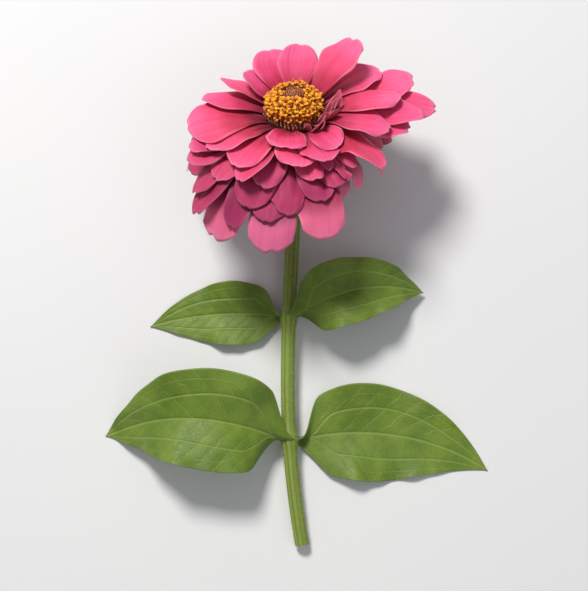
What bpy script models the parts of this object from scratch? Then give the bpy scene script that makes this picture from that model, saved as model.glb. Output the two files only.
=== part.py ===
"""A zinnia flower as picked: one double pink bloom on a short leafy stem, lying on a surface.

The constants are in millimetres and degrees, and the scene is in metres, +Z up. The flower lies
along Y with the bloom at the +Y end, its face turned up. The origin is on the surface, under the
middle of the flower.
"""

import math
import random
from dataclasses import dataclass

import bmesh
import bpy
import numpy as np
from mathutils import Matrix, Vector

MM = 0.001
GOLDEN_ANGLE = 137.508

# Head: a frame of its own, with z out of the flower's face, x to the right and y to the back.
# Its origin is the middle of the disc's foot.
HEAD_AT = (0.0, 62.4, 39.6)
HEAD_TILT = 50.0
CORE_RADIUS = 10.0
CORE_FOOT_RADIUS = 8.0
CORE_RIM_DEPTH = 2.5
CORE_DEPTH = 12.0
JOINT_GAP = 0.3
HEAD_SIDES = 20

# Ray petals
BLADE = 0.6
PETAL_ROOT_RADIUS = 6.5
ROOT_TOP = -3.0
ROOT_FOOT = -10.0
ARCH_TOP = 12.0
ARCH_FOOT = 36.0
PETAL_CLAW = 0.2
PETAL_WIDEST = 0.72
PETAL_TIP_WIDTH = 0.7
TIP_ROUND = 0.1
TIP_NOTCH = 0.02
NOTCH_WIDTH = 0.2
LEVEL_TOP = 4.0
LEVEL_FOOT = -29.5
FILL_COUNT = 48
FILL_SEED = 11
FILL_START = 70.0
FILL_REACH_TOP = 36.0
FILL_REACH_FOOT = 40.0
FILL_HALF_WIDTH = 6.9
FILL_CLEAR_AZIMUTH = 17.0
FILL_CLEAR_LEVEL = 7.5
BACK_SHORT = 0.24
DROOP_AZIMUTH = 320.0
DROOP_SPREAD = 38.0
DROOP_SHORT = 0.46
DROOP_DROP = 4.0
PRESS_BEND = 1.5

# Disc
DISC_RADIUS = 8.6
DISC_TOP = 5.4
BUTTON_RADIUS = 3.4
BUTTON_TOP = 8.2
FLORET_COUNT = 34
FLORET_LENGTH = 4.4
FLORET_SINK = 1.2
FLORET_TUBE = 0.65
FLORET_STAR = 1.5
FLORET_NOTCH = 0.85
FLORET_LOBE_RISE = 0.5
FLORET_LEAN = 0.85
FLORET_DROP = 3.3
CHAFF_COUNT = 16
CHAFF_LENGTH = 1.9
CHAFF_SINK = 0.8
CHAFF_RADIUS = 0.55
CHAFF_TIP = 0.12
CHAFF_LEAN = 0.5

# Involucre, the green cup of bracts under the head
CUP_TOP = -12.3
CUP_FOOT = -20.0
CUP_RIM_RADIUS = 9.4
BRACT_ROWS = ((-19.4, 8, 4.4), (-17.8, 9, 4.0), (-15.8, 10, 3.3))
BRACT_HALF_WIDTH = 2.9
BRACT_DEPTH = 2.4
BRACT_FOOT = 0.25
BRACT_FLARE = 0.8

# Stem
STEM_TOP_RADIUS = 3.7
STEM_RADIUS = 2.6
STEM_FLARE_LENGTH = 14.0
STEM_POINTS = 48
STEM_BEND_PULL = (30.0, 26.0)
STEM_RUN_START = (-1.5, 1.0)
STEM_RUN_PULLS = ((-1.4, -34.0, 1.6), (-6.0, 34.0, 2.8))
STEM_END = (3.0, -90.4)
NODE_SWELL = 0.8
NODE_SPREAD = 3.2
NODE_HEIGHT = 5.4
LEAF_NODES = (62.8, 108.8)

# Leaves
LEAF_BLADE = 0.8
LEAF_SLACK = 0.1
LEAF_CLASP = 78.0
LEAF_WIDEST = 0.36
LEAF_FOLD_START = 0.3
LEAF_HELD = 0.15
LEAF_TIP_HALF = 0.9


@dataclass
class Petal:
    """One ray petal, by where its tip comes: reach out from the head's axis, level above the disc's foot.

    arch is how much steeper it leaves its root than the straight way to the tip.
    """

    azimuth: float
    reach: float
    level: float
    half_width: float
    arch: float
    sway: float = 0.0
    twist: float = 0.0
    cup: float = 0.2
    columns: int = 4
    rows: int = 5


@dataclass
class Leaf:
    """One leaf without a stalk. Angles are in degrees.

    side is where its base sits round the stem, from the stem's right. In plan it sets out along
    heading and bends by turn, and it climbs at first and droops at its tip. fold is how far its
    halves rise from the midrib, and wave the height of its ripples.
    """

    name: str
    node: int
    side: float
    length: float
    half_width: float
    heading: float
    turn: float
    climb: float
    droop: float
    fold: float
    wave: float


# The petals that show, from the disc outward: azimuth, reach, level, half width, sway, twist, cup.
SHOWN_PETALS = (
    (111, 25, 12.0, 7.8, 0, 6, 0.25),
    (86, 26, 13.0, 7.6, 0, -4, 0.20),
    (46, 30.2, 18.2, 7.4, 6, -8, 0.30),
    (140, 23, 8.2, 5.4, 0, 16, 0.35),
    (152, 30.2, 6.4, 5.6, 4, 22, 0.45),
    (168, 34, 3.0, 7.0, 0, 10, 0.30),
    (191, 38.6, -2.4, 9.8, 0, -22, 0.35),
    (28, 39, 6.8, 7.6, 0, 0, 0.25),
    (14, 45.3, 6.4, 9.0, 0, 6, 0.25),
    (3, 51, 1.4, 6.4, 0, 28, 0.20),
    (355, 46.5, 0.5, 7.0, -4, 4, 0.25),
    (349, 42, -3.0, 7.6, 0, 10, 0.20),
    (338, 36.5, 1.5, 7.2, -4, 0, 0.25),
    (308, 25, 0.0, 6.0, 6, 14, 0.35),
    (293, 29.5, -1.5, 7.4, 0, 0, 0.20),
    (263, 24.5, 1.2, 7.4, 12, -12, 0.35),
    (273, 30, -1.8, 8.0, 0, 0, 0.20),
    (234, 35, -4.5, 7.2, 0, -6, 0.25),
    (214, 36, -3.5, 7.4, 0, 6, 0.25),
    (204, 40, -5.0, 7.4, 0, 8, 0.25),
    (209, 42, -8.5, 7.6, 0, 0, 0.20),
    (217, 45, -16.5, 7.4, -6, -10, 0.15),
    (223, 49, -23.0, 7.4, 0, -8, 0.15),
    (252, 35, -10.5, 6.4, 8, -22, 0.30),
    (284, 32, -8.5, 6.6, 0, 8, 0.30),
    (226, 39.5, -10.0, 6.8, 4, 4, 0.25),
    (241, 38, -8.0, 6.2, -4, 14, 0.35),
    (270, 37, -15.5, 6.6, 0, -10, 0.25),
    (240, 44, -20.0, 6.8, 4, -6, 0.20),
    (286, 36.5, -14.5, 7.2, 0, 6, 0.20),
    (246, 40, -16.5, 7.4, 0, -8, 0.10),
    (322, 40.7, -7.0, 6.8, 6, -18, 0.35),
    (298, 34, -12.0, 5.6, 8, 40, 0.35),
    (257, 41, -20.5, 6.6, 12, 12, 0.20),
    (234, 47, -29.5, 7.8, 0, -8, 0.05),
    (259, 46, -29.5, 8.8, 0, 0, 0.00),
    (285, 43, -26.5, 8.6, 0, -6, 0.00),
)

# Young narrow petals that still stand up beside the disc, given alike.
YOUNG_PETALS = (
    (352, 15.5, 6.5, 2.1, 10, 20, 0.9),
    (335, 17.0, 5.0, 2.2, -14, -30, 0.9),
    (318, 15.0, 4.5, 2.0, 16, 30, 0.9),
    (303, 15.5, 2.0, 2.0, -10, 20, 0.9),
    (12, 17.0, 6.5, 2.0, 8, 10, 0.9),
)
YOUNG_ARCH = -28.0

LEAVES = (
    Leaf("leaf_upper_left", 0, 215, 50, 12.5, 172, 26, -10, 0, 16, 1.2),
    Leaf("leaf_upper_right", 0, 35, 54, 13.0, 28, -38, 30, -34, 20, 1.4),
    Leaf("leaf_lower_left", 1, 125, 76, 19.0, 160, 42, 30, -40, 18, 1.8),
    Leaf("leaf_lower_right", 1, 305, 74, 18.5, 12, -46, -6, 0, 14, 1.6),
)


def smooth(t):
    t = np.clip(t, 0.0, 1.0)
    return t * t * (3.0 - 2.0 * t)


def cumulative(values):
    """The running integral of values sampled evenly over 0 to 1."""
    step = 1.0 / (len(values) - 1)
    return np.concatenate([[0.0], np.cumsum((values[1:] + values[:-1]) / 2) * step])


def pressed(heights, floor):
    """Heights kept to the surface or above, with a soft bend where a blade meets it."""
    near = np.clip((heights - floor + PRESS_BEND) / (2 * PRESS_BEND), 0.0, 1.0)
    bent = floor + PRESS_BEND * near**2
    return np.where(heights > floor + PRESS_BEND, heights, bent)


def head_matrix():
    tilt = math.radians(HEAD_TILT)
    columns = (
        Vector((1, 0, 0)),
        Vector((0, math.sin(tilt), -math.cos(tilt))),
        Vector((0, math.cos(tilt), math.sin(tilt))),
    )
    turned = Matrix(columns).transposed().to_4x4()
    return Matrix.Translation(Vector(HEAD_AT) * MM) @ turned


def in_world(points):
    """Points of the head's frame, in millimetres, as world points in millimetres."""
    matrix = np.array(head_matrix())
    return points @ matrix[:3, :3].T + matrix[:3, 3] / MM


def petal_outline(v):
    """Half width of a petal along its length, as a share of the widest."""
    widening = PETAL_CLAW + (1 - PETAL_CLAW) * smooth(v / PETAL_WIDEST)
    past = np.clip((v - PETAL_WIDEST) / (1 - PETAL_WIDEST), 0.0, 1.0)
    return widening - (1 - PETAL_TIP_WIDTH) * past**2


def depth_share(level):
    """How far down the head a petal belongs, from 0 at the disc to 1 at the lowest, by its tip's level."""
    return min(1.0, max(0.0, (LEVEL_TOP - level) / (LEVEL_TOP - LEVEL_FOOT)))


def petal_surface(petal):
    """The middle of a petal as a grid of world points, in millimetres."""
    root = ROOT_TOP + (ROOT_FOOT - ROOT_TOP) * depth_share(petal.level)
    run, climb = petal.reach - PETAL_ROOT_RADIUS, petal.level - root
    line = np.linspace(0, 1, 49)
    slope = math.atan2(climb, run) + math.radians(petal.arch) * (1 - 2 * smooth(line))
    heading = math.radians(petal.sway) * (line - 0.5)
    out = cumulative(np.cos(slope) * np.cos(heading))
    side = cumulative(np.cos(slope) * np.sin(heading))
    up = cumulative(np.sin(slope))
    length = math.hypot(run, climb) / math.hypot(out[-1], up[-1])

    u, v = np.meshgrid(np.linspace(-1, 1, petal.columns + 1), np.linspace(0, 1, petal.rows + 1))
    notch = TIP_NOTCH * np.exp(-((u / NOTCH_WIDTH) ** 2)) * v**8
    t = v - TIP_ROUND * u**2 * v**3 - notch
    slope, heading = np.interp(t, line, slope), np.interp(t, line, heading)
    half = petal.half_width * petal_outline(v)
    curl = petal.cup * (1.2 - v)
    curl = np.where(np.abs(curl) < 1e-3, 1e-3, curl)
    across, lift = half * np.sin(curl * u) / curl, half * (1 - np.cos(curl * u)) / curl
    twist = np.radians(petal.twist) * smooth(t)

    along = np.stack([np.cos(slope) * np.cos(heading), np.cos(slope) * np.sin(heading), np.sin(slope)], -1)
    sideways = np.stack([-np.sin(heading), np.cos(heading), np.zeros_like(heading)], -1)
    normal = np.cross(along, sideways)
    cos, sin = np.cos(twist)[..., None], np.sin(twist)[..., None]
    middle = np.stack([length * np.interp(t, line, path) for path in (out, side, up)], -1)
    middle = middle + np.array([PETAL_ROOT_RADIUS, 0, root])
    local = (
        middle
        + across[..., None] * (cos * sideways + sin * normal)
        + lift[..., None] * (cos * normal - sin * sideways)
    )
    turn = math.radians(petal.azimuth)
    radial = np.array([math.cos(turn), math.sin(turn), 0])
    tangent = np.array([-math.sin(turn), math.cos(turn), 0])
    points = local[..., :1] * radial + local[..., 1:2] * tangent + local[..., 2:] * np.array([0, 0, 1])
    return in_world(points)


def arch_of(level):
    return ARCH_TOP + (ARCH_FOOT - ARCH_TOP) * depth_share(level)


def is_clear(azimuth, level):
    """Whether no shown petal already fills that part of the head."""
    for shown, _, shown_level, *_ in SHOWN_PETALS:
        away = abs((azimuth - shown + 180) % 360 - 180)
        if away < FILL_CLEAR_AZIMUTH and abs(level - shown_level) < FILL_CLEAR_LEVEL:
            return False
    return True


def fill_petals():
    """The rest of the head: each a golden angle on from the last and a little lower.

    They are shorter at the back, and short and drooping on the side where the bloom hangs down.
    """
    draw = random.Random(FILL_SEED)
    for i in range(FILL_COUNT):
        down = i / (FILL_COUNT - 1)
        azimuth = FILL_START + i * GOLDEN_ANGLE + draw.uniform(-7, 7)
        level = LEVEL_TOP + (LEVEL_FOOT - LEVEL_TOP) * down + draw.uniform(-2.5, 2.5)
        reach = (FILL_REACH_TOP + (FILL_REACH_FOOT - FILL_REACH_TOP) * down) * draw.uniform(0.94, 1.04)
        reach *= 1 - BACK_SHORT * (1 - down) * max(0.0, math.sin(math.radians(azimuth)))
        away = (azimuth - DROOP_AZIMUTH + 180) % 360 - 180
        droop = math.exp(-((away / DROOP_SPREAD) ** 2)) * min(1.0, 2 * down)
        reach *= 1 - DROOP_SHORT * droop
        level -= DROOP_DROP * droop
        petal = Petal(
            azimuth=azimuth,
            reach=reach,
            level=level,
            half_width=FILL_HALF_WIDTH * draw.uniform(0.88, 1.12),
            arch=arch_of(level),
            sway=draw.uniform(-12, 12),
            twist=draw.uniform(-14, 14),
            cup=draw.uniform(-0.1, 0.4) - 0.2 * down,
            columns=3,
            rows=3,
        )
        if is_clear(azimuth, level):
            yield petal


def ray_petals():
    for azimuth, reach, level, half_width, sway, twist, cup in SHOWN_PETALS:
        yield Petal(azimuth, reach, level, half_width, arch_of(level), sway, twist, cup)
    for azimuth, reach, level, half_width, sway, twist, cup in YOUNG_PETALS:
        yield Petal(azimuth, reach, level, half_width, YOUNG_ARCH, sway, twist, cup, columns=2, rows=4)
    yield from fill_petals()


def clear_scene():
    for obj in list(bpy.data.objects):
        bpy.data.objects.remove(obj)


def new_collection(name):
    collection = bpy.data.collections.new(name)
    bpy.context.scene.collection.children.link(collection)
    return collection


def plant_material(name, color, roughness):
    material = bpy.data.materials.new(name)
    material.use_nodes = True
    shader = material.node_tree.nodes["Principled BSDF"]
    shader.inputs["Base Color"].default_value = (*color, 1)
    shader.inputs["Roughness"].default_value = roughness
    shader.inputs["Metallic"].default_value = 0
    return material


def add_object(name, data, collection, material=None):
    obj = bpy.data.objects.new(name, data)
    if material:
        data.materials.append(material)
    collection.objects.link(obj)
    return obj


def blade(name, points, thickness, collection, material=None):
    """A thin blade about a grid of world points in millimetres, split alike on both faces."""
    rows, columns = points.shape[0] - 1, points.shape[1] - 1
    bm = bmesh.new()
    bmesh.ops.create_grid(bm, x_segments=columns, y_segments=rows, size=1)
    for vertex, point in zip(bm.verts, points.reshape(-1, 3)):
        vertex.co = Vector(point) * MM
    bmesh.ops.triangulate(bm, faces=bm.faces)
    mesh = bpy.data.meshes.new(name)
    bm.to_mesh(mesh)
    bm.free()
    mesh.shade_smooth()
    obj = add_object(name, mesh, collection, material)
    solidify = obj.modifiers.new("thickness", "SOLIDIFY")
    solidify.thickness = thickness * MM
    solidify.offset = 0
    return obj


def turned(name, profile, sides, collection, material=None):
    """A solid of revolution about the head's axis, from (radius, height) pairs, top to bottom."""
    mesh = bpy.data.meshes.new(name)
    points = [(radius * MM, 0, height * MM) for radius, height in profile]
    mesh.from_pydata(points, [(i, i + 1) for i in range(len(points) - 1)], [])
    obj = add_object(name, mesh, collection, material)
    obj.matrix_world = head_matrix()
    screw = obj.modifiers.new("turn", "SCREW")
    screw.steps = screw.render_steps = sides
    screw.use_merge_vertices = True
    screw.merge_threshold = 0.00001
    return obj


def prong(name, sides, foot_radius, top_radius, length, place, collection):
    """A tapered peg whose foot is at place's origin and which stands along its z."""
    bm = bmesh.new()
    bmesh.ops.create_cone(
        bm,
        cap_ends=True,
        segments=sides,
        radius1=foot_radius * MM,
        radius2=top_radius * MM,
        depth=length * MM,
        matrix=Matrix.Translation((0, 0, length * MM / 2)),
    )
    mesh = bpy.data.meshes.new(name)
    bm.to_mesh(mesh)
    bm.free()
    obj = add_object(name, mesh, collection)
    obj.matrix_world = place
    return obj


def shells(bm):
    """The separate closed shells of a mesh, each as a list of faces."""
    bm.faces.ensure_lookup_table()
    seen = [False] * len(bm.faces)
    for start in range(len(bm.faces)):
        if seen[start]:
            continue
        seen[start] = True
        shell = [bm.faces[start]]
        for face in shell:
            for edge in face.edges:
                for other in edge.link_faces:
                    if not seen[other.index]:
                        seen[other.index] = True
                        shell.append(other)
        yield shell


def fill_pockets(mesh):
    """Makes solid the small pockets that crossing blades close off, by dropping their inner walls."""
    bm = bmesh.new()
    bm.from_mesh(mesh)
    inner = []
    for shell in shells(bm):
        volume = sum(face.calc_area() * face.normal.dot(face.calc_center_median()) for face in shell)
        if volume < 0:
            inner += shell
    bmesh.ops.delete(bm, geom=inner, context="FACES")
    bm.to_mesh(mesh)
    bm.free()


def fuse(base, repeats):
    """Joins the repeats to the base in one mesh, and removes them."""
    union = base.modifiers.new("join", "BOOLEAN")
    union.operation = "UNION"
    union.solver = "MANIFOLD"
    union.operand_type = "COLLECTION"
    union.collection = repeats
    bpy.context.view_layer.update()
    joined = bpy.data.meshes.new_from_object(base.evaluated_get(bpy.context.evaluated_depsgraph_get()))
    base.modifiers.clear()
    fill_pockets(joined)
    base.data = joined
    for obj in list(repeats.objects):
        bpy.data.objects.remove(obj)
    bpy.data.collections.remove(repeats)
    return base


def standing(point, direction, spin=0.0):
    """A head-frame placement at point, in millimetres, with z along direction."""
    turn = Vector(direction).to_track_quat("Z", "Y").to_matrix().to_4x4()
    spun = Matrix.Rotation(math.radians(spin), 4, "Z")
    return head_matrix() @ Matrix.Translation(Vector(point) * MM) @ turn @ spun


def build_ray_petals(collection, material):
    profile = (
        (0, -JOINT_GAP),
        (CORE_RADIUS, -JOINT_GAP),
        (CORE_RADIUS, -CORE_RIM_DEPTH),
        (CORE_FOOT_RADIUS, -CORE_DEPTH),
        (0, -CORE_DEPTH),
    )
    core = turned("ray_petals", profile, HEAD_SIDES, collection, material)
    repeats = new_collection("ray_petal_blades")
    for i, petal in enumerate(ray_petals()):
        points = petal_surface(petal)
        points[..., 2] = pressed(points[..., 2], BLADE / 2)
        blade(f"petal_{i:02d}", points, BLADE, repeats)
    return fuse(core, repeats)


def disc_places():
    """Where the star florets stand: on a spiral over the ring between the button and the disc's edge."""
    inner, outer = BUTTON_RADIUS + 0.9, DISC_RADIUS - 0.5
    for i in range(FLORET_COUNT):
        share = (i + 0.5) / FLORET_COUNT
        radius = math.sqrt(inner**2 + (outer**2 - inner**2) * share)
        turn = math.radians(i * GOLDEN_ANGLE)
        lean = FLORET_LEAN * (radius / outer) ** 2
        height = DISC_TOP - FLORET_DROP * share**1.3 - FLORET_SINK
        outward = Vector((math.cos(turn), math.sin(turn), 0))
        point = outward * radius + Vector((0, 0, height))
        yield standing(point, outward * lean + Vector((0, 0, 1)), spin=i * 31.0)


def build_disc_florets(collection, material):
    profile = (
        (0, DISC_TOP),
        (BUTTON_RADIUS + 0.4, DISC_TOP),
        (DISC_RADIUS * 0.78, DISC_TOP * 0.75),
        (DISC_RADIUS, DISC_TOP * 0.35),
        (DISC_RADIUS * 0.94, 0),
        (0, 0),
    )
    dome = turned("disc_florets", profile, HEAD_SIDES, collection, material)
    repeats = new_collection("floret_stars")
    for i, place in enumerate(disc_places()):
        star = prong(f"floret_{i:02d}", 10, FLORET_TUBE, FLORET_STAR, FLORET_LENGTH, place, repeats)
        top = [v for v in star.data.vertices if v.co.z > FLORET_LENGTH * MM / 2]
        top.sort(key=lambda v: math.atan2(v.co.y, v.co.x))
        for vertex in top[::2]:
            vertex.co.xy *= FLORET_NOTCH / FLORET_STAR
            vertex.co.z -= FLORET_LOBE_RISE * MM
    return fuse(dome, repeats)


def build_disc_chaff(collection, material):
    foot = DISC_TOP + JOINT_GAP
    height = BUTTON_TOP - foot
    arc = [math.radians(angle) for angle in (60, 30, 5)]
    side = [(BUTTON_RADIUS * math.cos(angle), foot + height * math.sin(angle)) for angle in arc]
    profile = [(0.0, BUTTON_TOP), *side, (BUTTON_RADIUS * 0.9, foot), (0.0, foot)]
    button = turned("disc_chaff", profile, HEAD_SIDES, collection, material)
    repeats = new_collection("chaff_scales")
    for i in range(CHAFF_COUNT):
        radius = (BUTTON_RADIUS - CHAFF_SINK) * math.sqrt((i + 0.5) / CHAFF_COUNT)
        turn = math.radians(i * GOLDEN_ANGLE)
        rise = height * math.sqrt(1 - (radius / BUTTON_RADIUS) ** 2)
        outward = Vector((math.cos(turn), math.sin(turn), 0))
        point = outward * radius + Vector((0, 0, foot + rise - CHAFF_SINK))
        direction = outward * CHAFF_LEAN * radius / BUTTON_RADIUS + Vector((0, 0, 1))
        place = standing(point, direction, spin=i * 40.0)
        prong(f"chaff_{i:02d}", 4, CHAFF_RADIUS, CHAFF_TIP, CHAFF_LENGTH, place, repeats)
    return fuse(button, repeats)


def cup_radius(height):
    """Outer radius of the green cup at a height in the head's frame."""
    share = min(1.0, max(0.0, (height - CUP_FOOT) / (CUP_TOP - CUP_FOOT)))
    return STEM_TOP_RADIUS + (CUP_RIM_RADIUS - STEM_TOP_RADIUS) * math.sin(share * math.pi / 2) ** 0.8


def bract_surface(height, length, azimuth, lift):
    """The middle of one scale of the cup: a thick one, so that its inner face stays inside the cup."""
    u, v = np.meshgrid(np.linspace(-1, 1, 3), np.linspace(0, 1, 4))
    half = BRACT_HALF_WIDTH * np.sqrt(np.clip(1 - np.clip((v - 0.4) / 0.66, 0, 1) ** 2, 0.1, 1))
    heights = height + length * (v - 0.14 * u**2 * v**2)
    outer = np.vectorize(cup_radius)(heights) + BRACT_FOOT + lift + (BRACT_FLARE - BRACT_FOOT) * v
    angle = math.radians(azimuth) + u * half / outer
    radii = outer - BRACT_DEPTH / 2
    points = np.stack([radii * np.cos(angle), radii * np.sin(angle), heights], -1)
    return in_world(points)


def build_involucre(collection, material):
    heights = (CUP_TOP, -13.4, -15.0, -17.0, -18.6, -19.6, CUP_FOOT)
    profile = [(0.0, CUP_TOP), *((cup_radius(h), h) for h in heights), (0.0, CUP_FOOT)]
    cup = turned("involucre", profile, HEAD_SIDES, collection, material)
    repeats = new_collection("bract_scales")
    for row, (height, count, length) in enumerate(BRACT_ROWS):
        for i in range(count):
            azimuth = (i + 0.5 * (row % 2)) * 360 / count + row * 7 + 3 * math.sin(i * 2.4)
            points = bract_surface(height - 0.1 * (i % 2), length, azimuth, 0.14 * (i % 3))
            blade(f"bract_{row}_{i:02d}", points, BRACT_DEPTH, repeats)
    return fuse(cup, repeats)


def bezier(start, pull_start, pull_end, end, count):
    """Points of a cubic curve, from its ends and the two points that pull it."""
    t = np.linspace(0, 1, count)[:, None]
    return (
        (1 - t) ** 3 * start
        + 3 * (1 - t) ** 2 * t * pull_start
        + 3 * (1 - t) * t**2 * pull_end
        + t**3 * end
    )


def stem_line():
    """The stem's middle line from the head to the cut end, evenly spaced, and the distance along it."""
    matrix = head_matrix()
    top = np.array(matrix @ Vector((0, 0, (CUP_FOOT - JOINT_GAP) * MM))) / MM
    away = -np.array(matrix.col[2])[:3]
    touch = np.array([*STEM_RUN_START, NODE_HEIGHT])
    down = bezier(top, top + away * STEM_BEND_PULL[0], touch + [1.0, STEM_BEND_PULL[1], 0], touch, 60)
    end = np.array([*STEM_END, STEM_RADIUS])
    run = bezier(touch, touch + STEM_RUN_PULLS[0], end + STEM_RUN_PULLS[1], end, 80)
    points = np.vstack([down, run[1:]])
    distance = np.concatenate([[0], np.cumsum(np.linalg.norm(np.diff(points, axis=0), axis=1))])
    even = np.linspace(0, distance[-1], STEM_POINTS)
    line = np.stack([np.interp(even, distance, points[:, i]) for i in range(3)], -1)
    return even, line


def stem_radius(distance):
    flare = (STEM_TOP_RADIUS - STEM_RADIUS) * np.exp(-distance / STEM_FLARE_LENGTH)
    swell = sum(NODE_SWELL * np.exp(-(((distance - node) / NODE_SPREAD) ** 2)) for node in LEAF_NODES)
    return STEM_RADIUS + flare + swell


def build_stem(collection, material):
    distance, line = stem_line()
    curve = bpy.data.curves.new("stem", "CURVE")
    curve.dimensions = "3D"
    curve.bevel_depth = MM
    curve.bevel_resolution = 4
    curve.use_fill_caps = True
    spline = curve.splines.new("POLY")
    spline.points.add(len(line) - 1)
    for point, place, radius in zip(spline.points, line, stem_radius(distance)):
        point.co = (*(place * MM), 1)
        point.radius = radius
    return add_object("stem", curve, collection, material)


def leaf_outline(v, leaf):
    """Half width of a leaf along its length, in millimetres."""
    before, after = LEAF_WIDEST, 1 - LEAF_WIDEST
    shape = (np.maximum(v, 1e-4) / before) ** 0.6 * ((1 - v) / after) ** 1.08
    return np.maximum(leaf.half_width * shape, LEAF_TIP_HALF)


def clear_of_stem(points, centre, ahead, radius):
    """Moves points that are nearer than radius to the line through centre out to that distance."""
    offset = points - centre
    away = offset - (offset @ ahead)[..., None] * ahead
    distance = np.linalg.norm(away, axis=-1, keepdims=True)
    return points + away * (np.maximum(distance, radius) / distance - 1)


def leaf_surface(leaf, columns=6, rows=11):
    """The middle of a leaf as a grid of world points: its base clasps the stem, then it spreads."""
    distance, line = stem_line()
    at = LEAF_NODES[leaf.node]
    centre = np.array([np.interp(at, distance, line[:, i]) for i in range(3)])
    ahead = np.array([np.interp(at - 1, distance, line[:, i]) for i in range(3)]) - centre
    ahead /= np.linalg.norm(ahead)
    right = np.cross(ahead, [0, 0, 1])
    right /= np.linalg.norm(right)
    above = np.cross(right, ahead)
    side = math.radians(leaf.side)
    outward = math.cos(side) * right + math.sin(side) * above
    tangent = math.sin(side) * right - math.cos(side) * above
    hug = float(stem_radius(np.array(at))) + JOINT_GAP + LEAF_SLACK + LEAF_BLADE / 2

    u, v = np.meshgrid(np.linspace(-1, 1, columns + 1), np.linspace(0, 1, rows + 1) ** 1.5)
    t = np.linspace(0, 1, 49)
    heading = np.radians(leaf.heading + leaf.turn * t**1.2)
    climb = np.radians(leaf.climb + (leaf.droop - leaf.climb) * smooth(t * 1.15))
    run = np.cos(climb)
    steps = (run * np.cos(heading), run * np.sin(heading), np.sin(climb))
    middle = centre + outward * hug + leaf.length * np.stack([cumulative(step) for step in steps], -1)
    spine = np.stack([np.interp(v, t, middle[:, i]) for i in range(3)], -1)
    heading, climb = np.interp(v, t, heading), np.interp(v, t, climb)
    along = np.stack([np.cos(climb) * np.cos(heading), np.cos(climb) * np.sin(heading), np.sin(climb)], -1)
    across = np.stack([np.sin(heading), -np.cos(heading), np.zeros_like(heading)], -1)
    normal = np.cross(across, along)
    half = leaf_outline(v, leaf)
    fold = math.radians(leaf.fold) * (1 - 0.5 * v) * smooth(v / LEAF_FOLD_START)
    ripple = leaf.wave * np.sin(v * 15 + leaf.side) * u**2 * np.sin(np.pi * v)
    spread = half * u * np.cos(fold)
    lift = half * np.abs(u) * np.sin(fold) + ripple
    free = spine + spread[..., None] * across + lift[..., None] * normal

    wrap = np.radians(LEAF_CLASP) * u
    ring = np.cos(wrap)[..., None] * outward + np.sin(wrap)[..., None] * tangent
    forward = v[..., None] * leaf.length * along
    clasp = centre + ring * hug + forward
    held = (1 - smooth(v / LEAF_HELD))[..., None]
    return clear_of_stem(held * clasp + (1 - held) * free, centre, ahead, hug)


def build_leaf(leaf, collection, material):
    points = leaf_surface(leaf)
    points[..., 2] = pressed(points[..., 2], LEAF_BLADE / 2)
    return blade(leaf.name, points, LEAF_BLADE, collection, material)


def main():
    clear_scene()
    flower = new_collection("zinnia_flower")
    petal_pink = plant_material("petal_pink", (0.80, 0.10, 0.22), 0.55)
    floret_yellow = plant_material("floret_yellow", (0.80, 0.36, 0.02), 0.6)
    chaff_maroon = plant_material("chaff_maroon", (0.30, 0.07, 0.05), 0.65)
    leaf_green = plant_material("leaf_green", (0.10, 0.20, 0.03), 0.5)
    stem_green = plant_material("stem_green", (0.18, 0.27, 0.05), 0.5)
    bract_green = plant_material("bract_green", (0.09, 0.16, 0.03), 0.55)

    build_ray_petals(flower, petal_pink)
    build_disc_florets(flower, floret_yellow)
    build_disc_chaff(flower, chaff_maroon)
    build_involucre(flower, bract_green)
    build_stem(flower, stem_green)
    for leaf in LEAVES:
        build_leaf(leaf, flower, leaf_green)


main()
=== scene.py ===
"""The zinnia flower dressed: fine petals, florets, scales, bracts, leaves and a hairy stem, lit and framed.

Lengths are in millimetres and angles in degrees until a mesh is made. The form follows the values of
the solids. To match the photograph, the tips of some petals lie up to about 4 mm off their solids',
and nine petals are in the scene alone.
"""

import math
import random
from collections import namedtuple
from math import radians

import bpy
import numpy as np
from mathutils import Matrix, Vector
from mathutils.bvhtree import BVHTree


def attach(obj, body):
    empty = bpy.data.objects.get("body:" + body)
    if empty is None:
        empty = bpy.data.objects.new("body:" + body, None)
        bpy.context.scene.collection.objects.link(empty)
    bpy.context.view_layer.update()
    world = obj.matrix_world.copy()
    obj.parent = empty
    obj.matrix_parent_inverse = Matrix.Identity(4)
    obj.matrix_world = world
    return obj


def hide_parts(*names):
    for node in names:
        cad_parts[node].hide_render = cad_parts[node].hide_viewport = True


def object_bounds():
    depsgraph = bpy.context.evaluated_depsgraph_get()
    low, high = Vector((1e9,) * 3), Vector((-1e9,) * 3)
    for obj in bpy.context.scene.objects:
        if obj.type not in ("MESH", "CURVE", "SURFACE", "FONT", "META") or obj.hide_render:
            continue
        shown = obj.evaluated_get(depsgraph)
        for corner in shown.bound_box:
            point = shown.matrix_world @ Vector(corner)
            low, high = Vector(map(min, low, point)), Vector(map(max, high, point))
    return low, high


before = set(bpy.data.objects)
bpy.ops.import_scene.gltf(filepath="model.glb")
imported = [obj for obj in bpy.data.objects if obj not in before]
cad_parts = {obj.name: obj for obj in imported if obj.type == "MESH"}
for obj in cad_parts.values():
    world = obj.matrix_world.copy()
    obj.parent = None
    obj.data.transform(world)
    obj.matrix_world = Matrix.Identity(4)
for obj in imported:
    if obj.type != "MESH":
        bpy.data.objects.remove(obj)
cad_low, cad_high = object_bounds()

MM = 0.001
CAD_LOW, CAD_HIGH = np.array(cad_low) / MM, np.array(cad_high) / MM
GOLDEN_ANGLE = 137.508
FLOOR_GAP = 0.02
LINE_STEPS = 97

# Head
HEAD_AT = (0, 62.4, 39.6)
HEAD_TILT = 50
CORE_RADIUS = 10
CORE_FOOT_RADIUS = 8
CORE_RIM_DEPTH = 2.5
CORE_DEPTH = 12
JOINT_GAP = 0.3

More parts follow.
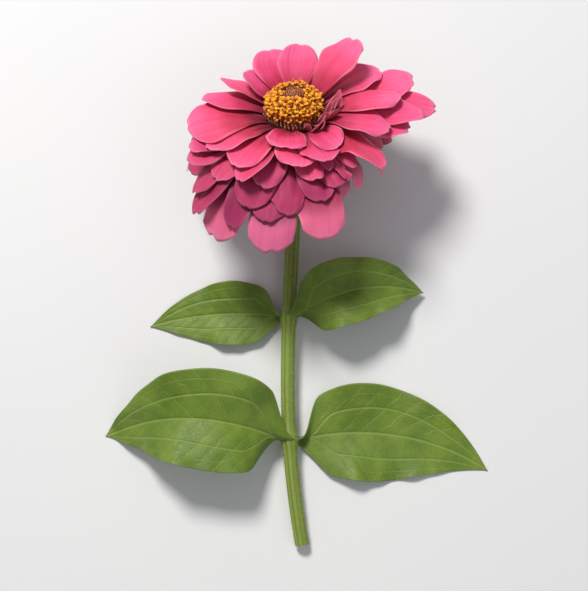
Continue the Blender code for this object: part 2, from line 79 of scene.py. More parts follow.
# Ray petals
PETAL_ROOT_RADIUS = 6.5
# From the topmost petals to the lowest
ROOTS = (-3, -10)
ARCHES = (12, 36)
LEVELS = (4, -29.5)
FILL_REACHES = (36, 40)
PETAL_CLAW = 0.2
PETAL_WIDEST = 0.72
PETAL_TIP_WIDTH = 0.7
TIP_BROADER = 0.2
TIP_ROUND = 0.1
FILL_COUNT = 48
FILL_SEED = 11
FILL_START = 70
BACK_SHORT = 0.24
DROOP_AZIMUTH = 320
DROOP_SPREAD = 38
DROOP_SHORT = 0.46
DROOP_DROP = 4
FILL_HALF_WIDTH = 6.9
FILL_CLEAR_AZIMUTH = 17
FILL_CLEAR_LEVEL = 7.5
PRESS_BEND = 1.5
PETAL_BLADE = 0.3
PETAL_FLOOR = 0.25
PETAL_GAP = 0.7
PETAL_SEARCH = 4.5
PETAL_OVER = 1.5
PETAL_MOST = 5
PETAL_SETTLES = 4
LOWEST_TIPS_LIT = 0.66
RUFFLE_SEED = 5
SHOWN_COLUMNS = 22
YOUNG_ARCH = -28

# Disc
DISC_RADIUS = 8.6
DISC_TOP = 5.4
BUTTON_RADIUS = 3.4
BUTTON_TOP = 8.2
FLORET_COUNT = 34
FLORET_SINK = 2.4
FLORET_LEAN = 0.54
FLORET_DROP = 3.3
FLORET_LOBES = 5
FLORET_SIZE = 1.24
FLORET_SPIN = 31
FLORET_SEED = 21
EDGE_FLORETS = 32
EDGE_FLORET_SIZE = 0.98
BUD_COUNT = 34
CHAFF_COUNT = 64
CHAFF_LENGTH = 2.1
CHAFF_LEAN = 0.5
CHAFF_SEED = 8
EDGE_SCALES = 176
SCALE_COUNT = 56
SCALE_SEED = 13

# Involucre
CUP_TOP = -12.3
CUP_FOOT = -20
CUP_RIM_RADIUS = 9.4
BRACT_ROWS = ((-19.4, 8, 4.4), (-17.8, 9, 4), (-15.8, 10, 3.3))
BRACT_HALF_WIDTH = 2.9
BRACT_BLADE = 0.5
BRACT_FOOT = 0.25
BRACT_FLARE = 0.8
BRACT_SEED = 4

# Stem
STEM_TOP_RADIUS = 3.7
STEM_RADIUS = 2.6
STEM_FLARE_LENGTH = 14
STEM_BEND_PULL = (30, 26)
STEM_RUN_START = (-1.5, 1)
STEM_RUN_PULLS = ((-1.4, -34, 1.6), (-6, 34, 2.8))
STEM_END = (3, -90.4)
STEM_RINGS = 300
STEM_SIDES = 48
NODE_SWELL = 0.8
NODE_SPREAD = 3.2
NODE_HEIGHT = 5.4
LEAF_NODES = (62.8, 108.8)
# How far out from the middle each ring of the cut end lies, and how deep in the stem
CUT_RINGS = ((1, 0), (0.97, 0), (0.9, 0), (0.8, 0.1), (0.6, 0.16), (0.4, 0.24), (0.26, 0.7), (0, 1.3))
HAIR_COUNT = 2200
HAIR_SEED = 3

# Leaves
LEAF_SOLID = 0.8
LEAF_BLADE = 0.4
LEAF_GRIP = 0.1
LEAF_CLASP = 78
LEAF_WIDEST = 0.36
LEAF_FOLD_START = 0.3
LEAF_HELD = 0.15
LEAF_COLUMNS = 60
LEAF_ROWS = 110
SIDE_VEINS = 11

# Scene, in metres
FLOOR_REACH = 4
SKY_COLOUR = (0.93, 0.96, 1, 1)
SKY_STRENGTH = 0.3
# name, at, aim, size, watts, colour
LAMPS = (
    ("key", (-0.3, 0.62, 0.9), (0, 0.03, 0.03), 0.32, 11.6, (1, 0.98, 0.95)),
    ("fill", (0.6, -0.5, 0.8), (0, 0, 0.02), 0.8, 1, (0.95, 0.97, 1)),
)
CAMERA_AIM = (0, -0.003, 0.03)
CAMERA_ELEVATION = 80
CAMERA_LENS = 85
SENSOR_WIDTH = 36
SPAN_IN_VIEW = 0.21


# A ray petal is given by where its tip comes: reach out from the head's axis, level above the disc's foot
PETAL_FIELDS = "azimuth reach level half_width sway twist cup arch columns rows"
Petal = namedtuple("Petal", PETAL_FIELDS, defaults=(SHOWN_COLUMNS, 34))

# A leaf: its node, the side of the stem it grows on, its size, and how it runs, droops and folds
Leaf = namedtuple("Leaf", "name node side length half_width heading turn climb droop fold wave")


# azimuth, reach, level, half width, sway, twist, cup
SHOWN_PETALS = (
    (110, 26.4, 11.2, 8.8, 0, 6, 0.25), (86, 26, 11.8, 7.6, 0, -4, 0.20),
    (44, 31.4, 17, 8.4, 6, -8, 0.25), (140, 23, 7.4, 5.4, 0, 16, 0.35),
    (152, 30.2, 4.2, 5.6, 4, 22, 0.45), (168, 34, 1, 7, 0, 10, 0.30),
    (191, 38.6, -2.4, 9.8, 0, -22, 0.35), (32, 37, 5.6, 7.6, 0, 0, 0.25),
    (17, 45.3, 4.4, 9, 0, 6, 0.25), (3, 51.5, -0.8, 6.4, 0, 28, 0.20),
    (355, 46.5, 0.5, 7, -4, 4, 0.25), (349, 42, -3, 7.6, 0, 10, 0.20),
    (338, 36.5, 1.5, 7.2, -4, 0, 0.25), (308, 25, -1.8, 6, 6, 14, 0.35),
    (293, 29.5, -3.3, 7.4, 0, 0, 0.20), (263, 24.5, -0.8, 7.4, 12, -12, 0.35),
    (273, 30, -3.6, 8, 0, 0, 0.20), (234, 35, -4.5, 7.2, 0, -6, 0.25),
    (214, 36, -3.5, 7.4, 0, 6, 0.25), (204, 40, -6.5, 7.4, 0, 4, 0.25),
    (209, 42, -9.5, 7.6, 0, 0, 0.20), (217, 45, -16.5, 6.4, -6, 14, 0.30),
    (223, 47, -23, 6, 0, 18, 0.30), (252, 35, -10.5, 6.4, 8, -22, 0.30),
    (284, 32, -8.5, 6.6, 0, 8, 0.30), (226, 39.5, -10, 6.8, 4, 4, 0.25),
    (241, 38, -8, 6.2, -4, 14, 0.35), (266, 39.4, -17.6, 6.6, -14, -12, 0.25),
    (241, 45, -23.5, 5, 4, -6, 0.20), (286, 36.5, -14.5, 7.2, 0, 6, 0.20),
    (246, 40, -16.5, 7.4, 0, -8, 0.10), (322, 40.7, -7, 6.8, 6, -18, 0.35),
    (298, 34, -12, 5.6, 8, 40, 0.35), (257, 41, -20.5, 6.6, 12, 12, 0.20),
    (234, 47, -29.5, 7.8, 0, -8, 0.05), (259, 46, -29.5, 8.8, 0, 0, 0.00),
    (285, 43, -26.5, 8.6, 0, -6, 0.00), (3, 38.2, 4.6, 7.8, 4, -4, 0.30),
    (296, 29.5, -7.6, 2.6, 3, 22, 0.85), (303, 33, -10.8, 2.6, -3, -22, 0.85),
    (312, 32.5, -8.2, 2.8, 5, 26, 0.8),
)
YOUNG_PETALS = (
    (352, 15.5, 6.5, 2.1, 10, 20, 0.9), (335, 17, 5, 2.2, -14, -30, 0.9),
    (318, 15, 4.5, 2, 16, 30, 0.9), (303, 15.5, 2, 2, -10, 20, 0.9),
    (12, 17, 6.5, 2, 8, 10, 0.9), (344, 14, 5.6, 1.5, -24, 60, 1.1),
    (326, 14.5, 4.8, 1.6, 30, -70, 1.1), (311, 16.5, 3.2, 1.5, -26, 65, 1.2),
    (294, 14, 2.6, 1.4, 22, -60, 1.1), (360, 17, 5.6, 1.6, 20, 70, 1.1),
)

LEAVES = (
    Leaf("leaf_upper_left", 0, 215, 50, 12.5, 172, 26, -10, 0, 16, 1.2),
    Leaf("leaf_upper_right", 0, 35, 54, 13, 28, -38, 30, -34, 20, 1.4),
    Leaf("leaf_lower_left", 1, 125, 76, 19, 160, 42, 30, -40, 18, 1.8),
    Leaf("leaf_lower_right", 1, 305, 74, 18.5, 12, -46, -6, 0, 14, 1.6),
)


class Draw(random.Random):
    """Seeded draws. Called with two bounds, it gives a number between them."""

    __call__ = random.Random.uniform


def smooth(t):
    t = np.clip(t, 0, 1)
    return t * t * (3 - 2 * t)


def bell(x, width):
    return np.exp(-((x / width) ** 2))


def between(low, high, share):
    return low + (high - low) * share


def apart(azimuth, other):
    """The shorter way round from the other azimuth, in degrees."""
    return (azimuth - other + 180) % 360 - 180


def cumulative(values):
    """The running integral of values sampled evenly over 0 to 1."""
    step = 1 / (len(values) - 1)
    return np.concatenate([0 * values[:1], np.cumsum((values[1:] + values[:-1]) / 2, axis=0) * step])


def pressed(heights, floor):
    """Heights kept to the surface or above, with a soft bend where a blade meets it."""
    near = np.clip((heights - floor + PRESS_BEND) / (2 * PRESS_BEND), 0, 1)
    bent = floor + PRESS_BEND * near**2
    return np.where(heights > floor + PRESS_BEND, heights, bent)


# The head's frame: z out of the flower's face, x to the right, y to the back
UP = Vector((0, 0, 1))
COS, SIN = math.cos(radians(HEAD_TILT)), math.sin(radians(HEAD_TILT))
HEAD_MATRIX = Matrix.Translation(HEAD_AT) @ Matrix(((1, 0, 0), (0, SIN, COS), (0, -COS, SIN))).to_4x4()
HEAD = np.array(HEAD_MATRIX)


def placed(points, matrix):
    return points @ matrix[:3, :3].T + matrix[:3, 3]


def in_world(points):
    return placed(points, HEAD)


def turned(points, angle):
    """Points turned about z, by an angle in radians."""
    cos, sin = math.cos(angle), math.sin(angle)
    x, y, z = np.moveaxis(points, -1, 0)
    return np.stack([x * cos - y * sin, x * sin + y * cos, z], -1)


def unit(vectors):
    return vectors / np.maximum(np.linalg.norm(vectors, axis=-1, keepdims=True), 1e-9)


def frame(ahead, up=(0, 0, 1)):
    """The directions to the right of the one ahead, and above it."""
    right = unit(np.cross(ahead, up))
    return right, np.cross(right, ahead)


def towards(climb, heading):
    """The direction at a climb over the level and a heading round the upright, in radians."""
    level = np.cos(climb)
    return np.stack([level * np.cos(heading), level * np.sin(heading), np.sin(climb)], -1)


def beside(heading):
    """The level direction to the left of a heading."""
    return np.stack([-np.sin(heading), np.cos(heading), 0 * heading], -1)


def on_line(distance, known, line):
    """The points at some distances on a line whose points are at known ones."""
    return np.stack([np.interp(distance, known, line[:, i]) for i in range(3)], -1)


# Meshes


def added(name, data):
    """A new object in the scene."""
    obj = bpy.data.objects.new(name, data)
    bpy.context.scene.collection.objects.link(obj)
    return obj


class Piece:
    """Gathers the parts of one piece's mesh, with the values that its material reads at each point."""

    def __init__(self):
        self.points, self.faces, self.values, self.count = [], [], {}, 0

    def add(self, points, faces, **values):
        """Adds a grid of points and its faces. A value left out is 0 at these points."""
        points = np.asarray(points, float)
        self.points.append(points.reshape(-1, 3))
        self.faces.append(faces + self.count)
        for name in {*self.values, *values}:
            value = np.broadcast_to(values.get(name, 0), points.shape[:-1]).ravel()
            self.values.setdefault(name, [np.zeros(self.count)]).append(value)
        self.count += len(self.points[-1])

    def add_rings(self, rings, step=1, **values):
        """Adds a band of rings. Its faces are turned round where step is -1."""
        self.add(rings, grid_faces(*np.shape(rings)[:2], wrap=True)[:, ::step], **values)

    def object(self, name, material, nodes, slot):
        """Makes the finished piece, in metres, which stands for the named solids."""
        mesh = bpy.data.meshes.new(name)
        points = np.concatenate(self.points)
        points = np.clip(points, (*CAD_LOW[:2], CAD_LOW[2] + FLOOR_GAP), CAD_HIGH)
        faces = [tuple(face) for group in self.faces for face in group.tolist()]
        mesh.from_pydata((points * MM).tolist(), [], faces)
        for value_name, groups in self.values.items():
            attribute = mesh.attributes.new(value_name, "FLOAT", "POINT")
            attribute.data.foreach_set("value", np.concatenate(groups).astype(np.float32))
        mesh.shade_smooth()
        mesh.materials.append(material)
        obj = added(name, mesh)
        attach(obj, "root")
        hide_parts(*nodes)


def grid_faces(rows, columns, wrap=False):
    """Faces over a grid of points, so that they face along (next row) x (next column)."""
    i = np.arange(rows - 1)[:, None] * columns
    j = np.arange(columns if wrap else columns - 1)[None, :]
    k = (j + 1) % columns
    return np.stack([i + j, i + columns + j, i + columns + k, i + k], -1).reshape(-1, 4)


def grid_places(columns, rows):
    """The place of each point of a grid across it, from -1 to 1, and along it, from 0 to 1."""
    return np.meshgrid(np.linspace(-1, 1, columns + 1), np.linspace(0, 1, rows + 1))


def grid_normals(points):
    return unit(np.cross(np.gradient(points, axis=0), np.gradient(points, axis=1)))


def blade(piece, points, above, below=None, **values):
    """Adds a closed thin blade about a grid of points, as far above and below it as said."""
    rows, columns = points.shape[:2]
    normal = grid_normals(points)
    upper = points + normal * above[..., None]
    lower = points - normal * (above if below is None else below)[..., None]
    count, top = rows * columns, grid_faces(rows, columns)
    index = np.arange(count).reshape(rows, columns)
    loop = np.concatenate([index[0], index[1:, -1], index[-1, -2::-1], index[-2:0:-1, 0]])
    after = np.roll(loop, -1)
    rim = np.stack([loop, after, after + count, loop + count], -1)
    faces = np.concatenate([top, top[:, ::-1] + count, rim])
    piece.add([upper, lower], faces, face=[[[1]], [[0]]], **values)


def around(sides):
    return np.linspace(0, 2 * np.pi, sides, endpoint=False)


def lathe(profile, sides):
    """A solid of revolution about z, from (radius, height) pairs ordered from top to foot."""
    angle = around(sides)
    radius, height = np.array(profile, float).T[..., None]
    radius = np.maximum(radius, 1e-3)
    return np.stack([radius * np.cos(angle), radius * np.sin(angle), height + 0 * angle], -1)


def tube(line, radii, sides, up=(0, 0, 1)):
    """Rings of points round a line, for a bar that may bend. Their band needs its faces turned round."""
    right, above = frame(unit(np.gradient(line, axis=0)), up)
    angle = around(sides)[:, None]
    outward = np.cos(angle) * right[:, None] + np.sin(angle) * above[:, None]
    return line[:, None] + radii.reshape(len(line), -1, 1) * outward


# Petals


def petal_outline(v, depth):
    """Half width of a petal along its length, as a share of the widest. The lowest petals end broader."""
    widening = between(PETAL_CLAW, 1, smooth(v / PETAL_WIDEST))
    past = np.clip((v - PETAL_WIDEST) / (1 - PETAL_WIDEST), 0, 1)
    return widening - (1 - PETAL_TIP_WIDTH - TIP_BROADER * depth**2) * past**2


def depth_share(level):
    return min(1, max(0, (LEVELS[0] - level) / (LEVELS[0] - LEVELS[1])))


def arch_of(level):
    return between(*ARCHES, depth_share(level))


def tip_teeth(u, v, draw):
    """How far the tip's edge falls back, as a share of the length: a notch, and a shallow tooth beside it."""
    middle, width = draw(-0.22, 0.22), draw(0.12, 0.22)
    beside = middle + draw.choice((-1, 1)) * draw(0.4, 0.6)
    notch = draw(0.012, 0.032) * bell(u - middle, width)
    tooth = draw(0, 0.014) * bell(u - beside, 0.14)
    return (notch + tooth) * v**8


def petal_ripples(u, v, petal, draw):
    """How far the petal's face rises off its plain form: ruffled edges, two pleats and a turned tip."""
    size = petal.half_width / 8
    waves, strength = draw(1.2, 2.6), draw(0.3, 1) * size
    phase = np.where(u < 0, draw(0, 6.3), draw(0, 6.3))
    ruffle = strength * np.abs(u) ** 2.5 * np.sin(2 * np.pi * waves * v + phase) * smooth((v - 0.2) / 0.5)
    pleats = sum(bell(u - at, 0.1) for at in (-0.36 + draw(-0.06, 0.06), 0.34))
    pleats = -0.26 * size * pleats * smooth(v / 0.2) * (1 - 0.6 * smooth((v - 0.7) / 0.3))
    rib = 0.14 * size * bell(u, 0.12) * (1 - v)
    wander = 0.3 * size * np.sin(3.1 * u + 4 * v + draw(0, 6.3)) * smooth(v / 0.4)
    turned_tip = draw(-1.2, 1) * size * smooth((v - 0.7) / 0.3) ** 2
    rolled = -draw(0.1, 0.6) * size * np.abs(u) ** 7 * smooth((v - 0.3) / 0.4)
    return ruffle + pleats + rib + wander + turned_tip + rolled


def petal_surface(petal, draw):
    """The middle of a petal as a grid of world points, with the grid's place across and along it."""
    depth = depth_share(petal.level)
    root = between(*ROOTS, depth)
    run, climb = petal.reach - PETAL_ROOT_RADIUS, petal.level - root
    line = np.linspace(0, 1, LINE_STEPS)
    slope = math.atan2(climb, run) + radians(petal.arch) * (1 - 2 * smooth(line))
    heading = radians(petal.sway) * (line - 0.5)
    path = cumulative(towards(slope, heading))
    length = math.hypot(run, climb) / math.hypot(path[-1, 0], path[-1, 2])

    u, v = grid_places(petal.columns, petal.rows)
    t = v - TIP_ROUND * u**2 * v**3 - tip_teeth(u, v, draw)
    slope, heading = np.interp(t, line, slope), np.interp(t, line, heading)
    half = petal.half_width * petal_outline(v, depth)
    curl = petal.cup * (1.2 - v)
    curl = np.where(np.abs(curl) < 1e-3, 1e-3, curl)
    across, lift = half * np.sin(curl * u) / curl, half * (1 - np.cos(curl * u)) / curl
    lift = lift + petal_ripples(u, v, petal, draw)

    sideways = beside(heading)
    normal = np.cross(towards(slope, heading), sideways)
    twist = (radians(petal.twist) * smooth(t))[..., None]
    cos, sin = np.cos(twist), np.sin(twist)
    local = (
        length * on_line(t, line, path)
        + [PETAL_ROOT_RADIUS, 0, root]
        + across[..., None] * (cos * sideways + sin * normal)
        + lift[..., None] * (cos * normal - sin * sideways)
    )
    return in_world(turned(local, radians(petal.azimuth))), u, v


def is_clear(azimuth, level):
    """Whether no placed petal ends near this azimuth and level."""
    return not any(
        abs(apart(azimuth, shown)) < FILL_CLEAR_AZIMUTH and abs(level - shown_level) < FILL_CLEAR_LEVEL
        for shown, _, shown_level, *_ in SHOWN_PETALS
    )


def fill_petals():
    """The rest of the head: each a golden angle on from the last and a little lower."""
    draw = Draw(FILL_SEED)
    for i in range(FILL_COUNT):
        down = i / (FILL_COUNT - 1)
        azimuth = FILL_START + i * GOLDEN_ANGLE + draw(-7, 7)
        level = between(*LEVELS, down) + draw(-2.5, 2.5)
        reach = between(*FILL_REACHES, down) * draw(0.94, 1.04)
        reach *= 1 - BACK_SHORT * (1 - down) * max(0, math.sin(radians(azimuth)))
        droop = bell(apart(azimuth, DROOP_AZIMUTH), DROOP_SPREAD) * min(1, 2 * down)
        reach *= 1 - DROOP_SHORT * droop
        level -= DROOP_DROP * droop
        half_width = FILL_HALF_WIDTH * draw(0.88, 1.12)
        sway, twist = draw(-12, 12), draw(-14, 14)
        cup = draw(-0.1, 0.4) - 0.2 * down
        if is_clear(azimuth, level):
            yield Petal(azimuth, reach, level, half_width, sway, twist, cup, arch_of(level), 18, 28)


def spread(amount):
    """Widens a field over a petal's grid and softens its edges."""
    for _ in range(2):
        rows, columns = amount.shape
        padded = np.pad(amount, 1, mode="edge")
        near = [padded[i : i + rows, j : j + columns] for i in range(3) for j in range(3)]
        amount = np.maximum.reduce(near)
    for _ in range(4):
        padded = np.pad(amount, 1, mode="edge")
        amount = (padded[:-2] + 2 * padded[1:-1] + padded[2:]) / 4
        amount = (amount[:, :-2] + 2 * amount[:, 1:-1] + amount[:, 2:]) / 4
    return amount


def height_over(points, normal, other):
    """How far each point lies above another petal, along its own normal, and nan where it has none near."""
    tree, low, high = other
    near = np.all((points > low - PETAL_SEARCH) & (points < high + PETAL_SEARCH), axis=-1)
    height = np.full(points.shape[:2], np.nan)
    for i, j in np.argwhere(near):
        start = Vector(points[i, j] + normal[i, j] * PETAL_SEARCH)
        hit = tree.ray_cast(start, Vector(-normal[i, j]), 2 * PETAL_SEARCH)
        if hit[3] is not None:
            height[i, j] = hit[3] - PETAL_SEARCH
    return height


def settled(surfaces):
    """The petals' surfaces, each moved clear of those that were laid before it."""
    laid = []
    for petal, points, u, v, tint in sorted(surfaces, key=lambda surface: -surface[0].level):
        free = smooth((v - 0.08) / 0.3)
        start, normal = points, grid_normals(points)
        moved = np.zeros(u.shape)
        for _ in range(PETAL_SETTLES):
            lift, drop = np.zeros(u.shape), np.zeros(u.shape)
            for other in laid:
                height = height_over(points, normal, other)
                known = ~np.isnan(height) & (free > 0.2)
                if not known.any():
                    continue
                if np.median(height[known]) > PETAL_OVER:
                    lift[known] = np.maximum(lift[known], PETAL_GAP - height[known])
                else:
                    drop[known] = np.maximum(drop[known], PETAL_GAP + height[known])
            moved = np.clip(moved + free * (spread(lift) - spread(drop)), -PETAL_MOST, PETAL_MOST)
            points = start + normal * moved[..., None]
        flat = points.reshape(-1, 3)
        tree = BVHTree.FromPolygons(flat.tolist(), grid_faces(*points.shape[:2]).tolist())
        laid.append((tree, flat.min(axis=0), flat.max(axis=0)))
        yield petal, points, u, v, tint


def ended_at_floor(points):
    """A petal drawn in towards its root as far as it needs to end at the surface that the flower lies on."""
    root, lowest = points[0, points.shape[1] // 2], points[..., 2].min()
    share = min(1, (root[2] - PETAL_FLOOR) / (root[2] - lowest))
    return between(root, points, share)


def petal_surfaces(petals, seed):
    """Each petal with its points, its grid's place across and along it, and its tint."""
    draw = Draw(seed)
    surfaces = []
    for petal in petals:
        points, u, v = petal_surface(petal, draw)
        surfaces.append((petal, ended_at_floor(points), u, v, draw(-1, 1)))
    return surfaces


def build_petals(name, surfaces, material, young=0):
    piece = Piece()
    for petal, points, u, v, tint in surfaces:
        points[..., 2] = pressed(points[..., 2], PETAL_FLOOR)
        thin = PETAL_BLADE / 2 * (1 - 0.65 * np.maximum(np.abs(u) ** 5, v**12))
        # depth, as the material reads it, is painted shade: lower petals are painted darker, less so at the
        # lowest tips (pale).
        depth = depth_share(petal.level)
        pale = smooth((depth - 0.82) / 0.1) * smooth((v - 0.6) / 0.28)
        depth = depth * (1 - LOWEST_TIPS_LIT * pale)
        blade(piece, points, thin, along=v, across=u, tint=tint, young=young, depth=depth, pale=pale)
    piece.object(name, material, ["ray_petals"], "petal_pink")


def build_receptacle(material):
    profile = (
        (0, -JOINT_GAP),
        (CORE_RADIUS - 1, -JOINT_GAP),
        (CORE_RADIUS - 0.5, -1.2),
        (CORE_RADIUS - 0.4, -CORE_RIM_DEPTH),
        (CORE_RADIUS * 0.9, -7),
        (CORE_FOOT_RADIUS, -CORE_DEPTH),
        (0, -CORE_DEPTH),
    )
    points, piece = lathe(profile, 60), Piece()
    piece.add_rings(in_world(points), height=points[..., 2])
    piece.object("receptacle", material, ["ray_petals"], "petal_pink")


# Disc


def on_head(radius, height, turn):
    """The direction away from the head's axis at a turn round it, and the spot that far out and up."""
    outward = Vector((math.cos(turn), math.sin(turn), 0))
    return outward, HEAD_MATRIX @ Matrix.Translation(outward * radius + UP * height)


def standing(radius, height, turn, lean, spin):
    """A placement whose z leans away from the head's axis, spun about it."""
    outward, spot = on_head(radius, height, turn)
    tilt = (outward * lean + UP).to_track_quat("Z", "Y").to_matrix().to_4x4()
    return np.array(spot @ tilt @ Matrix.Rotation(radians(spin), 4, "Z"))


def outward_place(radius, height, turn, lean):
    """A placement whose x points away from the head's axis and whose z leans that way."""
    outward, spot = on_head(radius, height, turn)
    ahead = (outward * lean + UP).normalized()
    side = UP.cross(outward).normalized()
    x = side.cross(ahead).normalized()
    return np.array(spot @ Matrix((x, side, ahead)).transposed().to_4x4())


def spiral(count, start=0):
    """Turns that are a golden angle apart, each with its share of the way from the first to the last."""
    return [((i + 0.5) / count, radians(i * GOLDEN_ANGLE + start)) for i in range(count)]


def add_floret(piece, place, share, draw, size, shade=0):
    """One open floret: a tube, five velvety lobes that roll back, a dark anther column and its styles."""
    size = size * draw(0.92, 1.08)
    place = place @ np.diag([1, 1, size, 1])
    tint = draw(-1, 1)
    profile = ((0.78, 3.72), (0.62, 3.4), (0.52, 2.8), (0.56, 1.4), (0.6, 0))
    points = lathe([(r * size, z) for r, z in profile], 10)
    piece.add_rings(placed(points, place), lobe=0.3, tint=tint, shade=shade)
    u, v = grid_places(6, 8)
    for lobe in range(FLORET_LOBES):
        turn = 2 * np.pi * (lobe + draw(-0.08, 0.08)) / FLORET_LOBES
        roll = draw(0.25, 0.75)
        out = 0.62 + 1.12 * np.sin(v * 1.25) / math.sin(1.25)
        rise = 3.55 + 0.95 * np.sin(v * 2) - roll * v**3 - 0.1 * u**2
        half = 0.6 * (1 - v**1.9) ** 0.6 * (0.74 + 0.38 * np.sin(v * np.pi)) + 0.02
        local = turned(np.stack([out * size, half * u * size, rise], -1), turn)
        blade(piece, placed(local, place), 0.09 * (1 - 0.5 * u**4), lobe=v, tint=tint, shade=shade)
    column = lathe([(0, 4.62), (0.2, 4.5), (0.27, 4.2), (0.26, 3.2)], 8)
    piece.add_rings(placed(column * (size, size, 1), place), lobe=0.5, tint=tint, part=1)
    if share > 0.3 and draw.random() < 0.6:
        t = np.linspace(0, 1, 7)
        for arm in (-1, 1):
            curl = np.stack([arm * 0.62 * np.sin(t * 2.2) * t, 0 * t, 4.45 + 0.75 * np.sin(t * 2.4)], -1)
            rings = tube(curl, 0.085 * (1 - 0.45 * t), 5, up=(0, 1, 0))
            piece.add_rings(placed(rings, place), -1, lobe=1, tint=tint)


def add_bud(piece, place, length, draw):
    """One floret still closed: a club with five shallow flutes."""
    heights = np.array([1, 0.97, 0.88, 0.74, 0.5, 0]) * length
    radius = np.array([0, 0.3, 0.5, 0.56, 0.4, 0.34])
    points = lathe(list(zip(radius, heights)), 15)
    angle = np.arctan2(points[..., 1], points[..., 0])
    points[..., :2] *= (1 + 0.12 * np.cos(5 * angle))[..., None]
    lobe = heights[:, None] / length * 0.75
    piece.add_rings(placed(points, place), lobe=lobe, tint=draw(-1, 1), shade=0.25)


def build_disc_florets(material):
    piece = Piece()
    side = [(DISC_RADIUS * r, DISC_TOP * z) for r, z in ((0.78, 0.75), (0.97, 0.42), (1, 0.3), (0.94, 0))]
    profile = [(0, DISC_TOP), (BUTTON_RADIUS + 0.4, DISC_TOP), *side, (0, 0)]
    piece.add_rings(in_world(lathe(profile, 60)), part=2)
    draw = Draw(FLORET_SEED)
    inner, outer = BUTTON_RADIUS + 0.9, DISC_RADIUS - 1.5
    for i, (share, turn) in enumerate(spiral(FLORET_COUNT)):
        radius = math.sqrt(between(inner**2, outer**2, share))
        height = DISC_TOP - FLORET_DROP * share**1.3 - FLORET_SINK
        place = standing(radius, height, turn, FLORET_LEAN * (radius / outer) ** 2, i * FLORET_SPIN)
        add_floret(piece, place, share, draw, FLORET_SIZE)
    for i in range(EDGE_FLORETS):
        turn = 2 * math.pi * (i + draw(-0.25, 0.25)) / EDGE_FLORETS
        low = i % 2
        lean = draw(0.54, 0.76) + 0.42 * low
        place = standing(DISC_RADIUS - 1.4, 1.2 - 1.3 * low, turn, lean, i * FLORET_SPIN)
        add_floret(piece, place, 0, draw, EDGE_FLORET_SIZE - 0.1 * low, 0.1 + 0.3 * low)
    for share, turn in spiral(BUD_COUNT, 20):
        radius = BUTTON_RADIUS + 0.2 + 2.3 * share
        place = outward_place(radius, DISC_TOP - 0.5 - 0.9 * share, turn, 0.15 + 0.2 * share)
        add_bud(piece, place, draw(2, 2.8), draw)
    piece.object("disc_florets_fine", material, ["disc_florets"], "floret_yellow")


def add_scale(piece, place, length, half_width, hook, draw):
    """One small pointed scale that hugs what stands inside it."""
    u, v = grid_places(4, 7)
    half = half_width * np.sqrt(np.maximum(1 - v**2.2, 0)) * (0.8 + 0.2 * v) + 0.02
    fold = 0.55 * half_width * u**2 * (1 - 0.3 * v)
    local = np.stack([-fold - hook * v**2, half * u, length * v], -1)
    blade(piece, placed(local, place), 0.06 * (1 - 0.6 * v), along=v, across=u, tint=draw(-1, 1))


def build_chaff(material):
    """The button of scales over the florets still in bud."""
    foot = DISC_TOP + JOINT_GAP
    height = BUTTON_TOP - foot
    arc = [radians(angle) for angle in (75, 60, 45, 30, 15, 5)]
    side = [(BUTTON_RADIUS * math.cos(angle), foot + height * math.sin(angle)) for angle in arc]
    piece = Piece()
    profile = [(0, BUTTON_TOP), *side, (BUTTON_RADIUS * 0.9, foot), (0, foot)]
    piece.add_rings(in_world(lathe(profile, 40)), along=0.1)
    draw = Draw(CHAFF_SEED)
    for share, turn in spiral(CHAFF_COUNT):
        radius = (BUTTON_RADIUS - 0.2) * math.sqrt(share)
        rise = height * math.sqrt(1 - (radius / BUTTON_RADIUS) ** 2)
        lean = CHAFF_LEAN * radius / BUTTON_RADIUS - 0.1
        place = outward_place(radius, foot + rise - 0.9, turn, lean)
        length = CHAFF_LENGTH * draw(0.85, 1.1) * (0.8 + 0.2 * radius / BUTTON_RADIUS)
        add_scale(piece, place, length, 0.42, 0.25, draw)
    piece.object("disc_chaff_fine", material, ["disc_chaff"], "chaff_maroon")


def build_chaff_ring(material):
    """The scales that stand among the florets and round the disc's edge."""
    piece = Piece()
    draw = Draw(SCALE_SEED)
    for i in range(EDGE_SCALES):
        turn = 2 * math.pi * (i + draw(-0.3, 0.3)) / EDGE_SCALES
        low = i % 4
        radius = DISC_RADIUS - 0.15 + 0.3 * low + draw(-0.2, 0.2)
        lean = 0.22 + 0.2 * low + draw(-0.25, 0.25)
        place = outward_place(radius, 0.1 - 0.85 * low + draw(-0.4, 0.2), turn, lean)
        add_scale(piece, place, draw(1.9, 3.4), 0.5, 0.45, draw)
    for share, turn in spiral(SCALE_COUNT, 60):
        share = math.sqrt(share)
        radius = BUTTON_RADIUS + 0.7 + (DISC_RADIUS - BUTTON_RADIUS - 1.1) * share
        level = DISC_TOP - FLORET_DROP * share**2.4 - 0.6
        place = outward_place(radius, level, turn, 0.75 * share**2)
        add_scale(piece, place, draw(2.8, 3.7), 0.42, 0.35, draw)
    piece.object("disc_chaff_ring", material, ["disc_florets"], "chaff_maroon")


# Involucre


def cup_radius(height):
    share = np.clip((height - CUP_FOOT) / (CUP_TOP - CUP_FOOT), 0, 1)
    return between(STEM_TOP_RADIUS, CUP_RIM_RADIUS, np.sin(share * np.pi / 2) ** 0.8)


